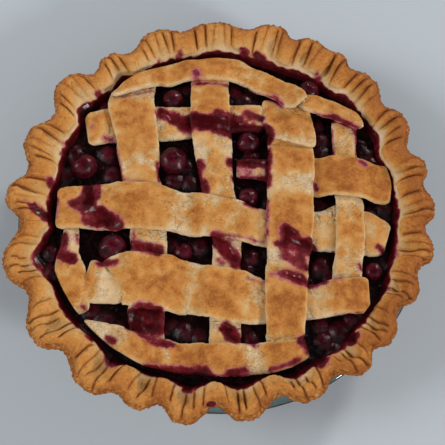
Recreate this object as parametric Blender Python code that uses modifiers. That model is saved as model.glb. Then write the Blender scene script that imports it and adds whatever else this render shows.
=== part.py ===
"""Cherry pie with a woven pastry top, baked in its own clear glass pie dish.

Metres, +Z up. The origin is the middle of the dish's base, on the surface that the dish
stands on. +X is the pie's right and +Y its back. Each piece is one closed solid, and pieces
that lie on one another keep a hair's gap.
"""
import math

import bmesh
import bpy
from mathutils import Vector, noise

MM = 0.001
GAP = 0.3

# Driving dimensions, in millimetres.
DISH_HEIGHT = 40.0
DISH_RIM_RADIUS = 122.5
DISH_MOUTH_RADIUS = 111.5
DISH_BASE_RADIUS = 92.0
GLASS_THICKNESS = 4.8
DISH_STEPS = 60
RIM_SLOPE = 2.6
RIM_LIP = 1.6

CRUST_THICKNESS = 4.0
CRUST_WALL_GAP = 0.6
FILLING_LEVEL = 36.3
FILLING_WAVE = 0.9
FILLING_DROP_AT_RIM = 2.2
FILLING_RADIUS = 105.0
FILLING_STEPS = 36
FILLING_RINGS = 7

STRIP_THICKNESS = 3.4
STRIP_EDGE_ROUND = 1.7
STRIP_REST = 38.0
STRIP_STATION = 6.5
STRIP_RAMP = 8.0
STRIP_FOOTPRINT_MARGIN = 5.5
STRIP_REACH = 105.8
CURVE_SAMPLES = 200
DIRECTION_SAMPLES = 4
WEAVE_PASSES = 4

# The pinched edge, fold by fold and anticlockwise: the turn in degrees from the fold's crest to
# the dent after it, from there to the next crest, and how far out the crest and the dent reach.
# It was pinched by hand, so the folds differ.
FOLDS = ((8, 5, 128, 123), (6, 10, 128, 121), (6, 9, 129, 123), (6, 5, 130, 126),
         (3, 6, 131, 129), (5, 6, 131, 126), (9, 9, 132, 125), (10, 7, 130, 125),
         (10, 6, 130, 121), (6, 8, 128, 122), (11, 8, 133, 121), (10, 8, 129, 120),
         (9, 12, 129, 120), (9, 11, 132, 124), (8, 10, 134, 125), (8, 5, 133, 126),
         (6, 6, 129, 122), (9, 7, 130, 119), (10, 8, 127, 118), (8, 8, 126, 120),
         (5, 5, 128, 122), (8, 6, 127, 120), (7, 6, 126, 122), (7, 5, 128, 122))
FIRST_CREST = -1.0
FLANK_STATIONS = (0.0, 0.4, 0.72)
CREST_BREADTH = 0.8

# Strips of pastry, each as its middle line: x, y and the width there.
STRIPS = {
    "back_arc_strip": ((-68, 75, 4), (-52, 86, 12), (-36, 91.5, 15), (-15, 95.5, 16),
                       (4, 95.5, 18), (18, 90, 15), (33, 81, 17), (51, 68, 12)),
    "back_end_strip": ((54.5, 70.5, 10), (66, 69, 14), (77, 64, 13), (84, 58.5, 10), (88, 53, 4)),
    "cross_strip_1": ((-84, 54, 22), (-66, 57, 24), (-30, 58, 23), (5, 61, 19), (25, 62, 19)),
    "cross_strip_2": ((9.5, 24, 18), (25, 25, 19), (58, 21.5, 25), (78, 19.5, 27), (104, 15, 24)),
    "cross_strip_3": ((-99, 0.5, 28), (-72, 1.5, 30), (-50, 1.5, 30), (-14, -4, 27), (26, -12, 24),
                      (58, -14, 25), (72, -13, 31), (86, -16, 28), (99, -20, 21)),
    "cross_strip_4": ((-73, -45, 25), (-65, -46.5, 24), (-54, -43.5, 33), (-38, -46.5, 35),
                      (-14, -50.5, 30), (6, -55, 32), (24, -58, 27), (52, -58, 21), (72, -55.5, 21), (86, -55, 22)),
    "front_arc_strip": ((-79, -70, 4), (-66, -77, 13), (-50, -84.5, 16), (-30, -90, 17),
                        (-8, -92, 18), (12, -92.5, 18), (33, -90.5, 16), (49, -86, 11)),
    "left_end_strip": ((-89, -9, 9), (-89.5, -26, 13), (-89, -37, 14), (-85, -49, 14),
                       (-80, -61, 9), (-78.5, -64, 7)),
    "long_strip_1": ((-55, 90, 27), (-56, 70, 29), (-50, 32, 24), (-44, 0, 22), (-43, -45, 22),
                     (-43, -87, 21)),
    "long_strip_2": ((-7, 96, 24), (-6.5, 55, 25), (-2, 14, 20), (3.5, -22, 17), (2.5, -60, 18),
                     (2, -88, 19)),
    "long_strip_3": ((42.5, 51, 28), (43, 21, 28), (41, -10, 28), (38.5, -40, 25), (36, -86, 20)),
    "long_strip_3_patch": ((41, 72, 30), (42, 57, 31), (43, 43, 31)),
    "long_strip_4": ((77, 60, 16), (76.5, 30, 15), (77, -12, 17), (74.5, -36, 17), (72, -62, 17)),
}

# Which strip lies over which.
CROSSINGS = {
    "back_arc_strip": ("long_strip_1", "long_strip_2", "long_strip_3_patch", "back_end_strip"),
    "back_end_strip": ("long_strip_4", "long_strip_3_patch"),
    "cross_strip_1": (),
    "cross_strip_2": ("long_strip_4",),
    "cross_strip_3": ("long_strip_1", "long_strip_2", "left_end_strip"),
    "cross_strip_4": ("long_strip_1", "long_strip_2", "long_strip_4"),
    "front_arc_strip": ("long_strip_1", "long_strip_2", "long_strip_3"),
    "left_end_strip": (),
    "long_strip_1": ("cross_strip_1",),
    "long_strip_2": ("cross_strip_1",),
    "long_strip_3": ("cross_strip_2", "cross_strip_3", "cross_strip_4"),
    "long_strip_3_patch": ("long_strip_3",),
    "long_strip_4": ("cross_strip_3",),
}

# Cherries that stand up out of the filling between the strips: x, y, radius and height.
CHERRIES = ((-84.5, 30, 8.2, 36.8), (-29.5, 33.5, 9.0, 36.6), (-30.5, 76.5, 6.6, 36.6),
            (-64.5, -24.0, 7.2, 38.5), (56.0, 82.0, 5.6, 38.8), (17, 46, 7.2, 36.6),
            (16.5, 8.5, 6.6, 36.6), (-22.5, -26.5, 5.6, 36.8), (90, -38.5, 5.4, 37.0))

GOLDEN_PASTRY = (0.50, 0.21, 0.06, 1.0)
PALE_PASTRY = (0.50, 0.33, 0.18, 1.0)
FILLING_RED = (0.035, 0.004, 0.007, 1.0)
CHERRY_RED = (0.055, 0.006, 0.011, 1.0)
GLASS_TINT = (0.62, 0.78, 0.74, 1.0)


def remove_old_objects():
    for old in list(bpy.data.objects):
        bpy.data.objects.remove(old, do_unlink=True)


def make_material(name, colour, roughness, transmission=0.0):
    material = bpy.data.materials.new(name)
    material.use_nodes = True
    shader = material.node_tree.nodes["Principled BSDF"]
    shader.inputs["Base Color"].default_value = colour
    shader.inputs["Roughness"].default_value = roughness
    shader.inputs["Metallic"].default_value = 0.0
    shader.inputs["Transmission Weight"].default_value = transmission
    material.diffuse_color = colour
    return material


def add_object(name, mesh_builder, material, collection):
    """Turn a finished bmesh, in millimetres, into a named object in metres."""
    bmesh.ops.scale(mesh_builder, vec=(MM, MM, MM), verts=mesh_builder.verts)
    mesh = bpy.data.meshes.new(name)
    mesh_builder.to_mesh(mesh)
    mesh_builder.free()
    mesh.shade_smooth()
    mesh.set_sharp_from_angle(angle=math.radians(40))
    mesh.materials.append(material)
    piece = bpy.data.objects.new(name, mesh)
    collection.objects.link(piece)
    return piece


def loft(sections, ring_closed):
    """Join sections of equal point count. ring_closed joins the last to the first; without it
    each section is a closed loop and the two ends are capped."""
    builder = bmesh.new()
    rows = [[builder.verts.new(point) for point in section] for section in sections]
    section_count = len(rows)
    point_count = len(rows[0])
    last_section = section_count if ring_closed else section_count - 1
    last_point = point_count - 1 if ring_closed else point_count
    for i in range(last_section):
        here = rows[i]
        there = rows[(i + 1) % section_count]
        for j in range(last_point):
            k = (j + 1) % point_count
            builder.faces.new((here[j], here[k], there[k], there[j]))
    if not ring_closed:
        builder.faces.new(rows[0])
        builder.faces.new(rows[-1])
    bmesh.ops.remove_doubles(builder, verts=builder.verts, dist=1e-4)
    bmesh.ops.triangulate(builder, faces=builder.faces)
    bmesh.ops.recalc_face_normals(builder, faces=builder.faces)
    return builder


def smoothstep(value):
    value = min(max(value, 0.0), 1.0)
    return value * value * (3.0 - 2.0 * value)


# Dish ---------------------------------------------------------------------------------------

def dish_floor_corner():
    return DISH_BASE_RADIUS - 3.0


def dish_profile():
    """Half section of the dish, from the middle of its floor over the rim to its base."""
    foot = DISH_BASE_RADIUS
    rim = DISH_RIM_RADIUS
    top = DISH_HEIGHT
    return ((0.0, GLASS_THICKNESS),
            (dish_floor_corner() - 1.5, GLASS_THICKNESS),
            (dish_floor_corner() + 1.5, GLASS_THICKNESS + 2.4),
            (DISH_MOUTH_RADIUS, top - RIM_SLOPE),
            (rim - RIM_LIP, top),
            (rim, top - 1.4),
            (rim - 0.8, top - 3.6),
            (DISH_MOUTH_RADIUS + 3.4, top - 5.6),
            (foot + 3.2, 5.0),
            (foot + 0.4, 1.2),
            (foot - 3.0, 0.0),
            (0.0, 0.0))


def build_dish(collection):
    """A turned clear glass pie dish with a flat base and a flared rim."""
    mesh = bpy.data.meshes.new("dish")
    points = [Vector((radius * MM, 0.0, height * MM)) for radius, height in dish_profile()]
    edges = [(i, i + 1) for i in range(len(points) - 1)]
    mesh.from_pydata(points, edges, [])
    mesh.materials.append(make_material("clear_glass", GLASS_TINT, 0.05, transmission=1.0))
    dish = bpy.data.objects.new("dish", mesh)
    collection.objects.link(dish)
    screw = dish.modifiers.new("turned", "SCREW")
    screw.axis = "Z"
    screw.angle = math.radians(360.0)
    screw.steps = DISH_STEPS
    screw.render_steps = DISH_STEPS
    screw.use_merge_vertices = True
    screw.merge_threshold = 0.00001
    screw.use_smooth_shade = True
    return dish


# Bottom crust with its pinched edge -----------------------------------------------------------

def on_dish_rim(radius):
    """The height at which pastry rests on the dish's sloping rim."""
    share = (radius - DISH_MOUTH_RADIUS) / (DISH_RIM_RADIUS - RIM_LIP - DISH_MOUTH_RADIUS)
    return DISH_HEIGHT - RIM_SLOPE * max(1.0 - share, 0.0) + GAP


def fold_section(reach):
    """Radius and height through a fold's crest, from the dish's rim outwards, over the lip and
    in to the filling."""
    return ((113.0, on_dish_rim(113.0)), (120.9, on_dish_rim(120.9)), (reach - 4.0, 40.4),
            (reach, 42.0),
            (reach - 1.6, 45.4), (reach - 5.6, 47.6), (118.4, 46.0), (112.6, 42.4), (108.2, 36.5))


def dent_section(reach):
    """The same through the dent between two folds, where the edge stands up and narrows."""
    under = min(reach - 3.6, 120.9)
    return ((113.0, on_dish_rim(113.0)), (under, on_dish_rim(under)), (reach - 1.2, 40.4),
            (reach, 42.4),
            (reach - 1.4, 46.4), (reach - 5.0, 48.8), (110.6, 48.0), (107.8, 43.8), (107.0, 36.5))


def fold_stations():
    """Every angle round the edge that is modelled, with its section there."""
    stations = []
    crest_angle = FIRST_CREST
    for index, (to_dent, to_next, crest, dent) in enumerate(FOLDS):
        next_crest = FOLDS[(index + 1) % len(FOLDS)][2]
        for share in FLANK_STATIONS:
            stations.append((crest_angle + to_dent * share, 1.0 - share, crest, dent))
        for share in FLANK_STATIONS:
            back = FLANK_STATIONS[0] - share
            angle = crest_angle + to_dent - to_next * back
            stations.append((angle, share, next_crest, dent))
        crest_angle += to_dent + to_next
    return [(math.radians(angle), blended_section(from_dent, crest, dent))
            for angle, from_dent, crest, dent in stations]


def blended_section(from_dent, crest, dent):
    outwards = smoothstep(from_dent ** CREST_BREADTH)
    return [(inner[0] + (outer[0] - inner[0]) * outwards,
             inner[1] + (outer[1] - inner[1]) * outwards)
            for outer, inner in zip(fold_section(crest), dent_section(dent))]


def build_pastry_shell(material, collection):
    """The bottom crust, which lines the dish, rests on its rim and overhangs it in folds."""
    floor_under = GLASS_THICKNESS + GAP
    floor_top = floor_under + CRUST_THICKNESS
    corner = dish_floor_corner()
    sections = []
    for angle, edge_section in fold_stations():
        profile = [(0.0, floor_under),
                   (corner - 2.0, floor_under),
                   (corner + 1.5 - CRUST_WALL_GAP, GLASS_THICKNESS + 2.9),
                   (DISH_MOUTH_RADIUS - CRUST_WALL_GAP, DISH_HEIGHT - RIM_SLOPE + GAP)]
        profile += edge_section
        profile += [(corner - CRUST_THICKNESS, floor_top),
                    (0.0, floor_top)]
        sections.append([(radius * math.cos(angle), radius * math.sin(angle), height)
                         for radius, height in profile])
    return add_object("pastry_shell", loft(sections, True), material, collection)


# Strips ---------------------------------------------------------------------------------------

def curve_point(points, position):
    """A point of a smooth curve through the given points; position counts in points."""
    index = min(int(position), len(points) - 2)
    share = position - index
    before = Vector(points[max(index - 1, 0)])
    start = Vector(points[index])
    end = Vector(points[index + 1])
    after = Vector(points[min(index + 2, len(points) - 1)])
    slope_in = (end - before) * 0.5
    slope_out = (after - start) * 0.5
    square = share * share
    cube = square * share
    return (start * (2 * cube - 3 * square + 1) + slope_in * (cube - 2 * square + share)
            + end * (3 * square - 2 * cube) + slope_out * (cube - square))


def strip_stations(points):
    """Stations evenly spaced along a strip: place, direction across and half width."""
    spans = len(points) - 1
    fine = [curve_point(points, i * spans / CURVE_SAMPLES) for i in range(CURVE_SAMPLES + 1)]
    lengths = [0.0]
    for here, there in zip(fine, fine[1:]):
        lengths.append(lengths[-1] + (there.xy - here.xy).length)
    count = max(3, round(lengths[-1] / STRIP_STATION) + 1)
    stations = []
    cursor = 0
    for i in range(count):
        wanted = lengths[-1] * i / (count - 1)
        while cursor < CURVE_SAMPLES - 1 and lengths[cursor + 1] < wanted:
            cursor += 1
        here = fine[cursor]
        ahead = fine[min(cursor + DIRECTION_SAMPLES, CURVE_SAMPLES)]
        behind = fine[max(cursor - DIRECTION_SAMPLES, 0)]
        along = (ahead.xy - behind.xy).normalized()
        span = lengths[cursor + 1] - lengths[cursor]
        point = here.lerp(fine[cursor + 1], (wanted - lengths[cursor]) / span)
        stations.append({"place": point.xy, "across": Vector((-along.y, along.x)),
                         "half": point.z / 2.0, "run": wanted, "height": STRIP_REST})
    return stations


def height_under(stations, place):
    """The underside of a strip at a place, or None where the strip doesn't reach."""
    nearest = min(range(len(stations) - 1), key=lambda i: segment_distance(stations, i, place))
    start = stations[nearest]
    end = stations[nearest + 1]
    step = end["place"] - start["place"]
    share = (place - start["place"]).dot(step) / step.length_squared
    overshoot = max(-share, share - 1.0, 0.0) * step.length
    share = min(max(share, 0.0), 1.0)
    middle = start["place"].lerp(end["place"], share)
    half = start["half"] + (end["half"] - start["half"]) * share
    beside = (place - middle).length - half
    if max(beside, overshoot) > STRIP_FOOTPRINT_MARGIN:
        return None
    return max(start["height"], end["height"])


def segment_distance(stations, index, place):
    start = stations[index]["place"]
    step = stations[index + 1]["place"] - start
    share = min(max((place - start).dot(step) / step.length_squared, 0.0), 1.0)
    return (place - start - step * share).length


def weave(all_stations):
    """Lift each strip clear of the strips it lies over, with a ramp on both sides."""
    clearance = STRIP_THICKNESS + GAP + 0.1
    for _ in range(WEAVE_PASSES):
        for name, stations in all_stations.items():
            needed = []
            for station in stations:
                lift = STRIP_REST
                for share in (-1.0, -0.5, 0.0, 0.5, 1.0):
                    place = station["place"] + station["across"] * station["half"] * share
                    for under in CROSSINGS[name]:
                        height = height_under(all_stations[under], place)
                        if height is not None:
                            lift = max(lift, height + clearance)
                needed.append(lift)
            for station in stations:
                heights = []
                for other, lift in zip(stations, needed):
                    distance = abs(other["run"] - station["run"])
                    fall = smoothstep(1.0 - distance / STRIP_RAMP)
                    heights.append(STRIP_REST + (lift - STRIP_REST) * fall)
                station["height"] = max(heights)


def strip_section(station):
    """A rounded flat section: six corners, counted from the lower left edge. Where it would
    run into the pinched edge it is trimmed to the edge's curve."""
    half = station["half"]
    inset = min(STRIP_EDGE_ROUND, half * 0.5)
    low = station["height"]
    middle = low + STRIP_THICKNESS * 0.5
    high = low + STRIP_THICKNESS
    corners = ((-half + inset * 0.6, low), (half - inset * 0.6, low), (half, middle),
               (half - inset, high), (-half + inset, high), (-half, middle))
    section = []
    for offset, height in corners:
        place = station["place"] + station["across"] * offset
        if place.length > STRIP_REACH:
            place *= STRIP_REACH / place.length
        section.append((place.x, place.y, height))
    return section


def build_strips(material, collection):
    all_stations = {name: strip_stations(points) for name, points in STRIPS.items()}
    weave(all_stations)
    for name, stations in all_stations.items():
        sections = [strip_section(station) for station in stations]
        add_object(name, loft(sections, False), material, collection)


# Filling and cherries -------------------------------------------------------------------------

def filling_height(place, radius_share):
    wave = noise.noise(Vector((place[0] * 0.08, place[1] * 0.08, 4.0)))
    drop = FILLING_DROP_AT_RIM * smoothstep((radius_share - 0.8) / 0.2)
    return FILLING_LEVEL + FILLING_WAVE * wave - drop


def build_filling(material, collection, guides):
    """The cherry filling up to its uneven top, hollowed where the standing cherries sit."""
    floor = GLASS_THICKNESS + GAP + CRUST_THICKNESS + GAP
    edge_radius = FILLING_RADIUS
    floor_radius = dish_floor_corner() - CRUST_THICKNESS - 1.0
    sections = []
    for step in range(FILLING_STEPS):
        angle = 2.0 * math.pi * step / FILLING_STEPS
        across = (math.cos(angle), math.sin(angle))
        section = [(0.0, 0.0, floor), (floor_radius * across[0], floor_radius * across[1], floor)]
        for ring in range(FILLING_RINGS, -1, -1):
            share = ring / FILLING_RINGS
            place = (edge_radius * share * across[0], edge_radius * share * across[1])
            section.append((place[0], place[1], filling_height(place, share)))
        sections.append(section)
    filling = add_object("filling", loft(sections, True), material, collection)
    for number, cherry in enumerate(CHERRIES, 1):
        builder = cherry_ball(cherry, cherry[2] + 0.45)
        cutter = add_object(f"cherry_seat_{number}", builder, material, guides)
        cutter.hide_render = True
        cutter.display_type = "WIRE"
        cut = filling.modifiers.new(f"seat_{number}", "BOOLEAN")
        cut.operation = "DIFFERENCE"
        cut.solver = "EXACT"
        cut.object = cutter
    return filling


def cherry_ball(cherry, radius):
    """A cherry as a ball, pressed a little flat, in its place."""
    builder = bmesh.new()
    bmesh.ops.create_icosphere(builder, subdivisions=2, radius=radius)
    bmesh.ops.scale(builder, vec=(1.0, 1.0, 0.92), verts=builder.verts)
    bmesh.ops.translate(builder, vec=(cherry[0], cherry[1], cherry[3]),
                        verts=builder.verts)
    return builder


def build_cherries(material, collection):
    for number, cherry in enumerate(CHERRIES, 1):
        add_object(f"cherry_{number}", cherry_ball(cherry, cherry[2]), material, collection)


def build_pie():
    remove_old_objects()
    collection = bpy.data.collections.new("cherry_pie")
    guides = bpy.data.collections.new("cutters")
    bpy.context.scene.collection.children.link(collection)
    bpy.context.scene.collection.children.link(guides)
    build_dish(collection)
    build_pastry_shell(make_material("baked_crust", PALE_PASTRY, 0.7), collection)
    build_strips(make_material("golden_strips", GOLDEN_PASTRY, 0.65), collection)
    build_filling(make_material("cherry_filling", FILLING_RED, 0.15), collection, guides)
    build_cherries(make_material("cherry_skin", CHERRY_RED, 0.12), collection)


build_pie()
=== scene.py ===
"""A cherry pie with a woven pastry top, baked in its own clear glass pie dish.

Each of the pie's meshes is worked out in millimetres, and turned into metres when its piece is
finished. The origin is the middle of the dish's base, +X is the pie's right and +Y its back.
"""
import math
import random

import bmesh
import bpy
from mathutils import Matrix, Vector, noise


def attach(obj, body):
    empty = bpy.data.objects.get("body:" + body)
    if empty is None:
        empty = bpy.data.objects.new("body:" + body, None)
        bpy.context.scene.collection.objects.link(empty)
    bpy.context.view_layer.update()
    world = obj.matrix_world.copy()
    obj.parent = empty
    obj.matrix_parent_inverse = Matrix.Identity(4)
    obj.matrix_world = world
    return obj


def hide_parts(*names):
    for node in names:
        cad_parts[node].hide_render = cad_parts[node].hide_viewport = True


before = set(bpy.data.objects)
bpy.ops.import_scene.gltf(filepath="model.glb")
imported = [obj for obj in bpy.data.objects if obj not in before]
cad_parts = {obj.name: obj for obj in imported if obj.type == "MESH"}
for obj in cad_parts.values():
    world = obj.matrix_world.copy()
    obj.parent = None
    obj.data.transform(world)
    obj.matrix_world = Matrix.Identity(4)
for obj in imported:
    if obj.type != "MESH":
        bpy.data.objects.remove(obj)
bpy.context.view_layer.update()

# Glass pie dish ------------------------------------------------------------------------------
# A pressed dish of clear, faintly green glass about 5 mm thick, with a flat base, a sloping wall
# and a narrow flared rim. It is one turned piece, and the mould rounds every corner.

MM = 0.001
MERGE_DISTANCE = 0.001
DISH_SECTION = ((0, 4.8), (87.5, 4.8), (90.5, 7.2), (111.5, 37.4), (120.9, 40), (122.5, 38.6),
                (121.7, 36.4), (114.9, 34.4), (95.2, 5), (92.4, 1.2), (89, 0), (0, 0))
DISH_CORNER_ROUNDING = 1.3
DISH_CORNER_STEPS = 4
# A corner's arc takes up at most this share of the side before it and of the side after it.
LONGEST_ROUNDING = 0.45
DISH_TURN_STEPS = 192
GLASS_IOR = 1.5
GLASS_ROUGHNESS = 0.03
GLASS_TINT = (0.90, 0.935, 0.915, 1.0)
# Painted shade: the flared rim is tinted dark teal for the shade and dark reflections in it.
RIM_PAINTED_SHADE = (0.24, 0.42, 0.42, 1.0)
RIM_PAINTED_SHADE_FROM = 0.034
RIM_PAINTED_SHADE_TO = 0.0365
# Faint waves in the pressed glass: how many to the metre and their detail, then their height.
GLASS_WAVES = (45.0, 2.0)
GLASS_WAVE_HEIGHT = 0.0005
GLASS_WAVE_STRENGTH = 0.5
# The Mix node's numbered sockets for each kind of value: its two inputs and its output.
MIX_SOCKETS = {"FLOAT": (2, 3, 0), "VECTOR": (4, 5, 1), "RGBA": (6, 7, 2)}


def rounded_path(corners, rounding, steps):
    """A line through the corners, each of them bent in a smooth arc."""
    path = [Vector(corners[0])]
    for before, corner, after in zip(corners, corners[1:], corners[2:]):
        corner = Vector(corner)
        back = Vector(before) - corner
        ahead = Vector(after) - corner
        start = corner + back.normalized() * min(rounding, back.length * LONGEST_ROUNDING)
        end = corner + ahead.normalized() * min(rounding, ahead.length * LONGEST_ROUNDING)
        for step in range(steps + 1):
            share = step / steps
            path.append(start.lerp(corner, share).lerp(corner.lerp(end, share), share))
    path.append(Vector(corners[-1]))
    return path


def add_node(tree, kind, sockets, **choices):
    """A shader node. Each socket is given a number, a colour or another node's output."""
    node = tree.nodes.new("ShaderNode" + kind)
    for choice, setting in choices.items():
        setattr(node, choice, setting)
    for socket, value in sockets.items():
        if isinstance(value, bpy.types.NodeSocket):
            tree.links.new(value, node.inputs[socket])
        else:
            node.inputs[socket].default_value = value
    return node


def noise_at(tree, place, scale, detail, roughness=0.5, distortion=0.0):
    """A noise texture's value, which is about a half on average."""
    sockets = {"Vector": place, "Scale": scale, "Detail": detail, "Roughness": roughness,
               "Distortion": distortion}
    return add_node(tree, "TexNoise", sockets).outputs["Fac"]


def mixed(tree, share, first, second, kind="RGBA", blend="MIX"):
    """Two colours, or two values of another kind, mixed by the share of the second."""
    first_input, second_input, output = MIX_SOCKETS[kind]
    node = add_node(tree, "Mix", {0: share, first_input: first, second_input: second},
                    data_type=kind, blend_type=blend)
    return node.outputs[output]


def new_material(name, sockets):
    """A material with its Principled shader's own sockets set."""
    material = bpy.data.materials.new(name)
    material.use_nodes = True
    shader = material.node_tree.nodes["Principled BSDF"]
    for socket, value in sockets.items():
        shader.inputs[socket].default_value = value
    return material, material.node_tree, shader


def add_bump(tree, shader, height, distance, strength=1.0):
    bump = add_node(tree, "Bump", {"Height": height, "Distance": distance, "Strength": strength})
    tree.links.new(bump.outputs["Normal"], shader.inputs["Normal"])


def finish_piece(builder, name, material, slot, *nodes):
    """Close the mesh, turn it into metres and let it stand for its nodes."""
    bmesh.ops.remove_doubles(builder, verts=builder.verts, dist=MERGE_DISTANCE)
    bmesh.ops.recalc_face_normals(builder, faces=builder.faces)
    bmesh.ops.scale(builder, vec=(MM, MM, MM), verts=builder.verts)
    mesh = bpy.data.meshes.new(name)
    builder.to_mesh(mesh)
    builder.free()
    mesh.shade_smooth()
    mesh.materials.append(material)
    piece = bpy.data.objects.new(name, mesh)
    bpy.context.scene.collection.objects.link(piece)
    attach(piece, "root")
    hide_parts(*nodes)


glass, tree, shader = new_material("pressed_glass", {
    "Roughness": GLASS_ROUGHNESS, "IOR": GLASS_IOR, "Transmission Weight": 1.0})
place = add_node(tree, "TexCoord", {}).outputs["Object"]
height = add_node(tree, "SeparateXYZ", {"Vector": place}).outputs["Z"]
# The rim's painted shade is mixed in by height, over the wall's top and the rim.
in_rim = add_node(tree, "MapRange", {"Value": height, "From Min": RIM_PAINTED_SHADE_FROM,
                                     "From Max": RIM_PAINTED_SHADE_TO}).outputs["Result"]
tree.links.new(mixed(tree, in_rim, GLASS_TINT, RIM_PAINTED_SHADE), shader.inputs["Base Color"])
add_bump(tree, shader, noise_at(tree, place, *GLASS_WAVES), GLASS_WAVE_HEIGHT,
         GLASS_WAVE_STRENGTH)

builder = bmesh.new()
line = [builder.verts.new((radius, 0.0, height)) for radius, height in
        rounded_path(DISH_SECTION, DISH_CORNER_ROUNDING, DISH_CORNER_STEPS)]
edges = [builder.edges.new(pair) for pair in zip(line, line[1:])]
bmesh.ops.spin(builder, geom=line + edges, cent=(0.0, 0.0, 0.0), axis=(0.0, 0.0, 1.0),
               angle=math.tau, steps=DISH_TURN_STEPS, use_merge=True)
finish_piece(builder, "pie_dish", glass, "glass", "dish")

# Bottom crust ---------------------------------------------------------------------------------
# Short pastry rolled about 4 mm thick that lines the dish from its base to its rim. It was baked
# against the glass, which shows it, and the filling hides its inside.

# Radius and height; the crust presses a hair into the glass, so that no air shows between them.
LINING_SECTION = ((0, 4.6), (87.6, 4.6), (90.8, 7.0), (111.2, 36.5), (107.6, 34.0), (86, 9.1),
                  (0, 9.1))
LINING_ROUNDING = 2.0
LINING_ROUNDING_STEPS = 3
LINING_STEPS = 240
# The section's longer sides are cut up, so that the marks on the pastry have places to lie.
LINING_LONG_SIDE = 8.0
LINING_CUTS = 10
LINING_BAKE = 0.38
LINING_BAKE_RISE = 0.006
LINING_BAKE_PATCHES = 0.22
LINING_PATCH_SIZE = 16.0
LINING_STAIN = 0.40
LINING_STAIN_SIZE = 22.0
# How high the wobble has to be before juice shows, and over how much more it comes in.
LINING_STAIN_FROM = 0.32
LINING_STAIN_OVER = 0.3
LINING_BUMP = 0.4
PASTRY_BROWNING = ((0.0, (0.670, 0.495, 0.305)), (0.14, (0.615, 0.420, 0.225)),
                   (0.28, (0.565, 0.340, 0.145)), (0.40, (0.545, 0.288, 0.094)),
                   (0.56, (0.520, 0.232, 0.057)), (0.70, (0.475, 0.188, 0.040)),
                   (0.86, (0.405, 0.142, 0.028)), (1.0, (0.290, 0.088, 0.017)))
JUICE_SOAK = ((0.0, (0.380, 0.115, 0.120)), (0.14, (0.230, 0.024, 0.034)),
              (0.4, (0.115, 0.007, 0.010)), (0.7, (0.048, 0.003, 0.004)),
              (1.0, (0.020, 0.0014, 0.0022)))
# The bottoms of creases, pleats and cracks: partly their browning, partly painted shade.
CREASE_BROWN_AND_SHADE = (0.130, 0.038, 0.013, 1.0)
SPECK_BROWN = (0.205, 0.080, 0.026, 1.0)
PASTRY_IOR = 1.45
PASTRY_SPECULAR = 0.12
# What a vertex of the pastry is marked with, from 0 to 1 or a little past it.
PASTRY_MARKS = ("Bake", "Juice", "Crease", "Crack")
GROUP_OUTPUTS = {"Colour": "NodeSocketColor", "Roughness": "NodeSocketFloat",
                 "Height": "NodeSocketFloat"}
# The pastry's noises, from broad to fine: how many to the metre, detail, roughness, distortion.
PASTRY_NOISES = {"tone": (70.0, 3.0, 0.55), "mottle": (230.0, 6.0, 0.74, 0.25),
                 "fleck": (620.0, 4.0, 0.7, 0.4), "grain": (1150.0, 3.0, 0.7),
                 "crumb": (2600.0, 2.0, 0.5), "pitting": (900.0, 1.0)}
# How much of each noise the browning and the juice's depth take up.
BROWNING_NOISES = {"tone": 0.27, "mottle": 0.50}
DEPTH_NOISES = {"tone": 0.9, "mottle": 0.7}
FLECK_IN_BROWNING = 1.6
FLECK_IN_SHADE = 0.8
# Stretched pastry splits into plates along seams, which are paler than the plates.
SEAM_SCALE = 95.0
# How far a noise bends the seams, and how many of its bends there are to the metre.
SEAM_BEND = 0.014
SEAM_BEND_SCALE = 260.0
SEAM_PALENESS = 0.24
SPECK_SCALE = 430.0
SPECK_SHARE = 0.65
PORE_SHARE = 0.75
CREASE_SHARE = 0.72
# How much each texture raises the pastry, as a share of PASTRY_RELIEF, which is in metres.
PASTRY_RAISED = {"mottle": 0.75, "fleck": 0.75, "grain": 0.75, "pores": -0.35, "crumb": 0.12,
                 "specks": -0.2, "crease": -0.5}
PASTRY_RELIEF = 0.0011
WET_ROUGHNESS = 0.12
# Juice fills the pastry's texture: how much of the relief it takes away where it lies thick.
WET_CALM = 0.93


def smoothstep(value):
    """0 below 0 and 1 above 1, with a soft rise between them."""
    value = min(max(value, 0.0), 1.0)
    return value * value * (3.0 - 2.0 * value)


def curve_point(points, position):
    """A point of a smooth curve through the given points; position counts in points."""
    index = min(int(position), len(points) - 2)
    share = position - index
    before = points[max(index - 1, 0)]
    start = points[index]
    end = points[index + 1]
    after = points[min(index + 2, len(points) - 1)]
    square = share * share
    cube = square * share
    return (start * (1.5 * cube - 2.5 * square + 1) + end * (2 * square - 1.5 * cube + 0.5 * share)
            + before * (square - 0.5 * cube - 0.5 * share) + after * (0.5 * cube - 0.5 * square))


def wobble(x, y, z, size, layer=0.0):
    """Smooth unevenness from about -1 to 1, with bumps of the given size in millimetres. Each
    layer has a pattern of its own."""
    return noise.noise(Vector((x / size, y / size, z / size + layer * 17.0)))


def math_node(tree, operation, *terms, clamp=False):
    node = add_node(tree, "Math", dict(enumerate(terms)), operation=operation, use_clamp=clamp)
    return node.outputs["Value"]


def ranged(tree, value, low, high, to_low=0.0, to_high=1.0):
    """0 up to the low value and 1 from the high one, or the numbers given, and soft between."""
    sockets = {"Value": value, "From Min": low, "From Max": high, "To Min": to_low,
               "To Max": to_high}
    node = add_node(tree, "MapRange", sockets, interpolation_type="SMOOTHSTEP")
    return node.outputs["Result"]


def colour_ramp(tree, value, stops):
    node = add_node(tree, "ValToRGB", {"Fac": value})
    elements = node.color_ramp.elements
    while len(elements) < len(stops):
        elements.new(0.5)
    for element, (position, colour) in zip(elements, stops):
        element.position = position
        element.color = (*colour, 1.0)
    return node.outputs["Color"]


def uneven(tree, value, textures, clamp=False):
    """A value that each texture, taken from its middle, changes by its amount."""
    for texture, amount in textures:
        offset = math_node(tree, "MULTIPLY_ADD", texture, amount, -0.5 * amount)
        value = math_node(tree, "ADD", value, offset, clamp=clamp)
    return value


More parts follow.
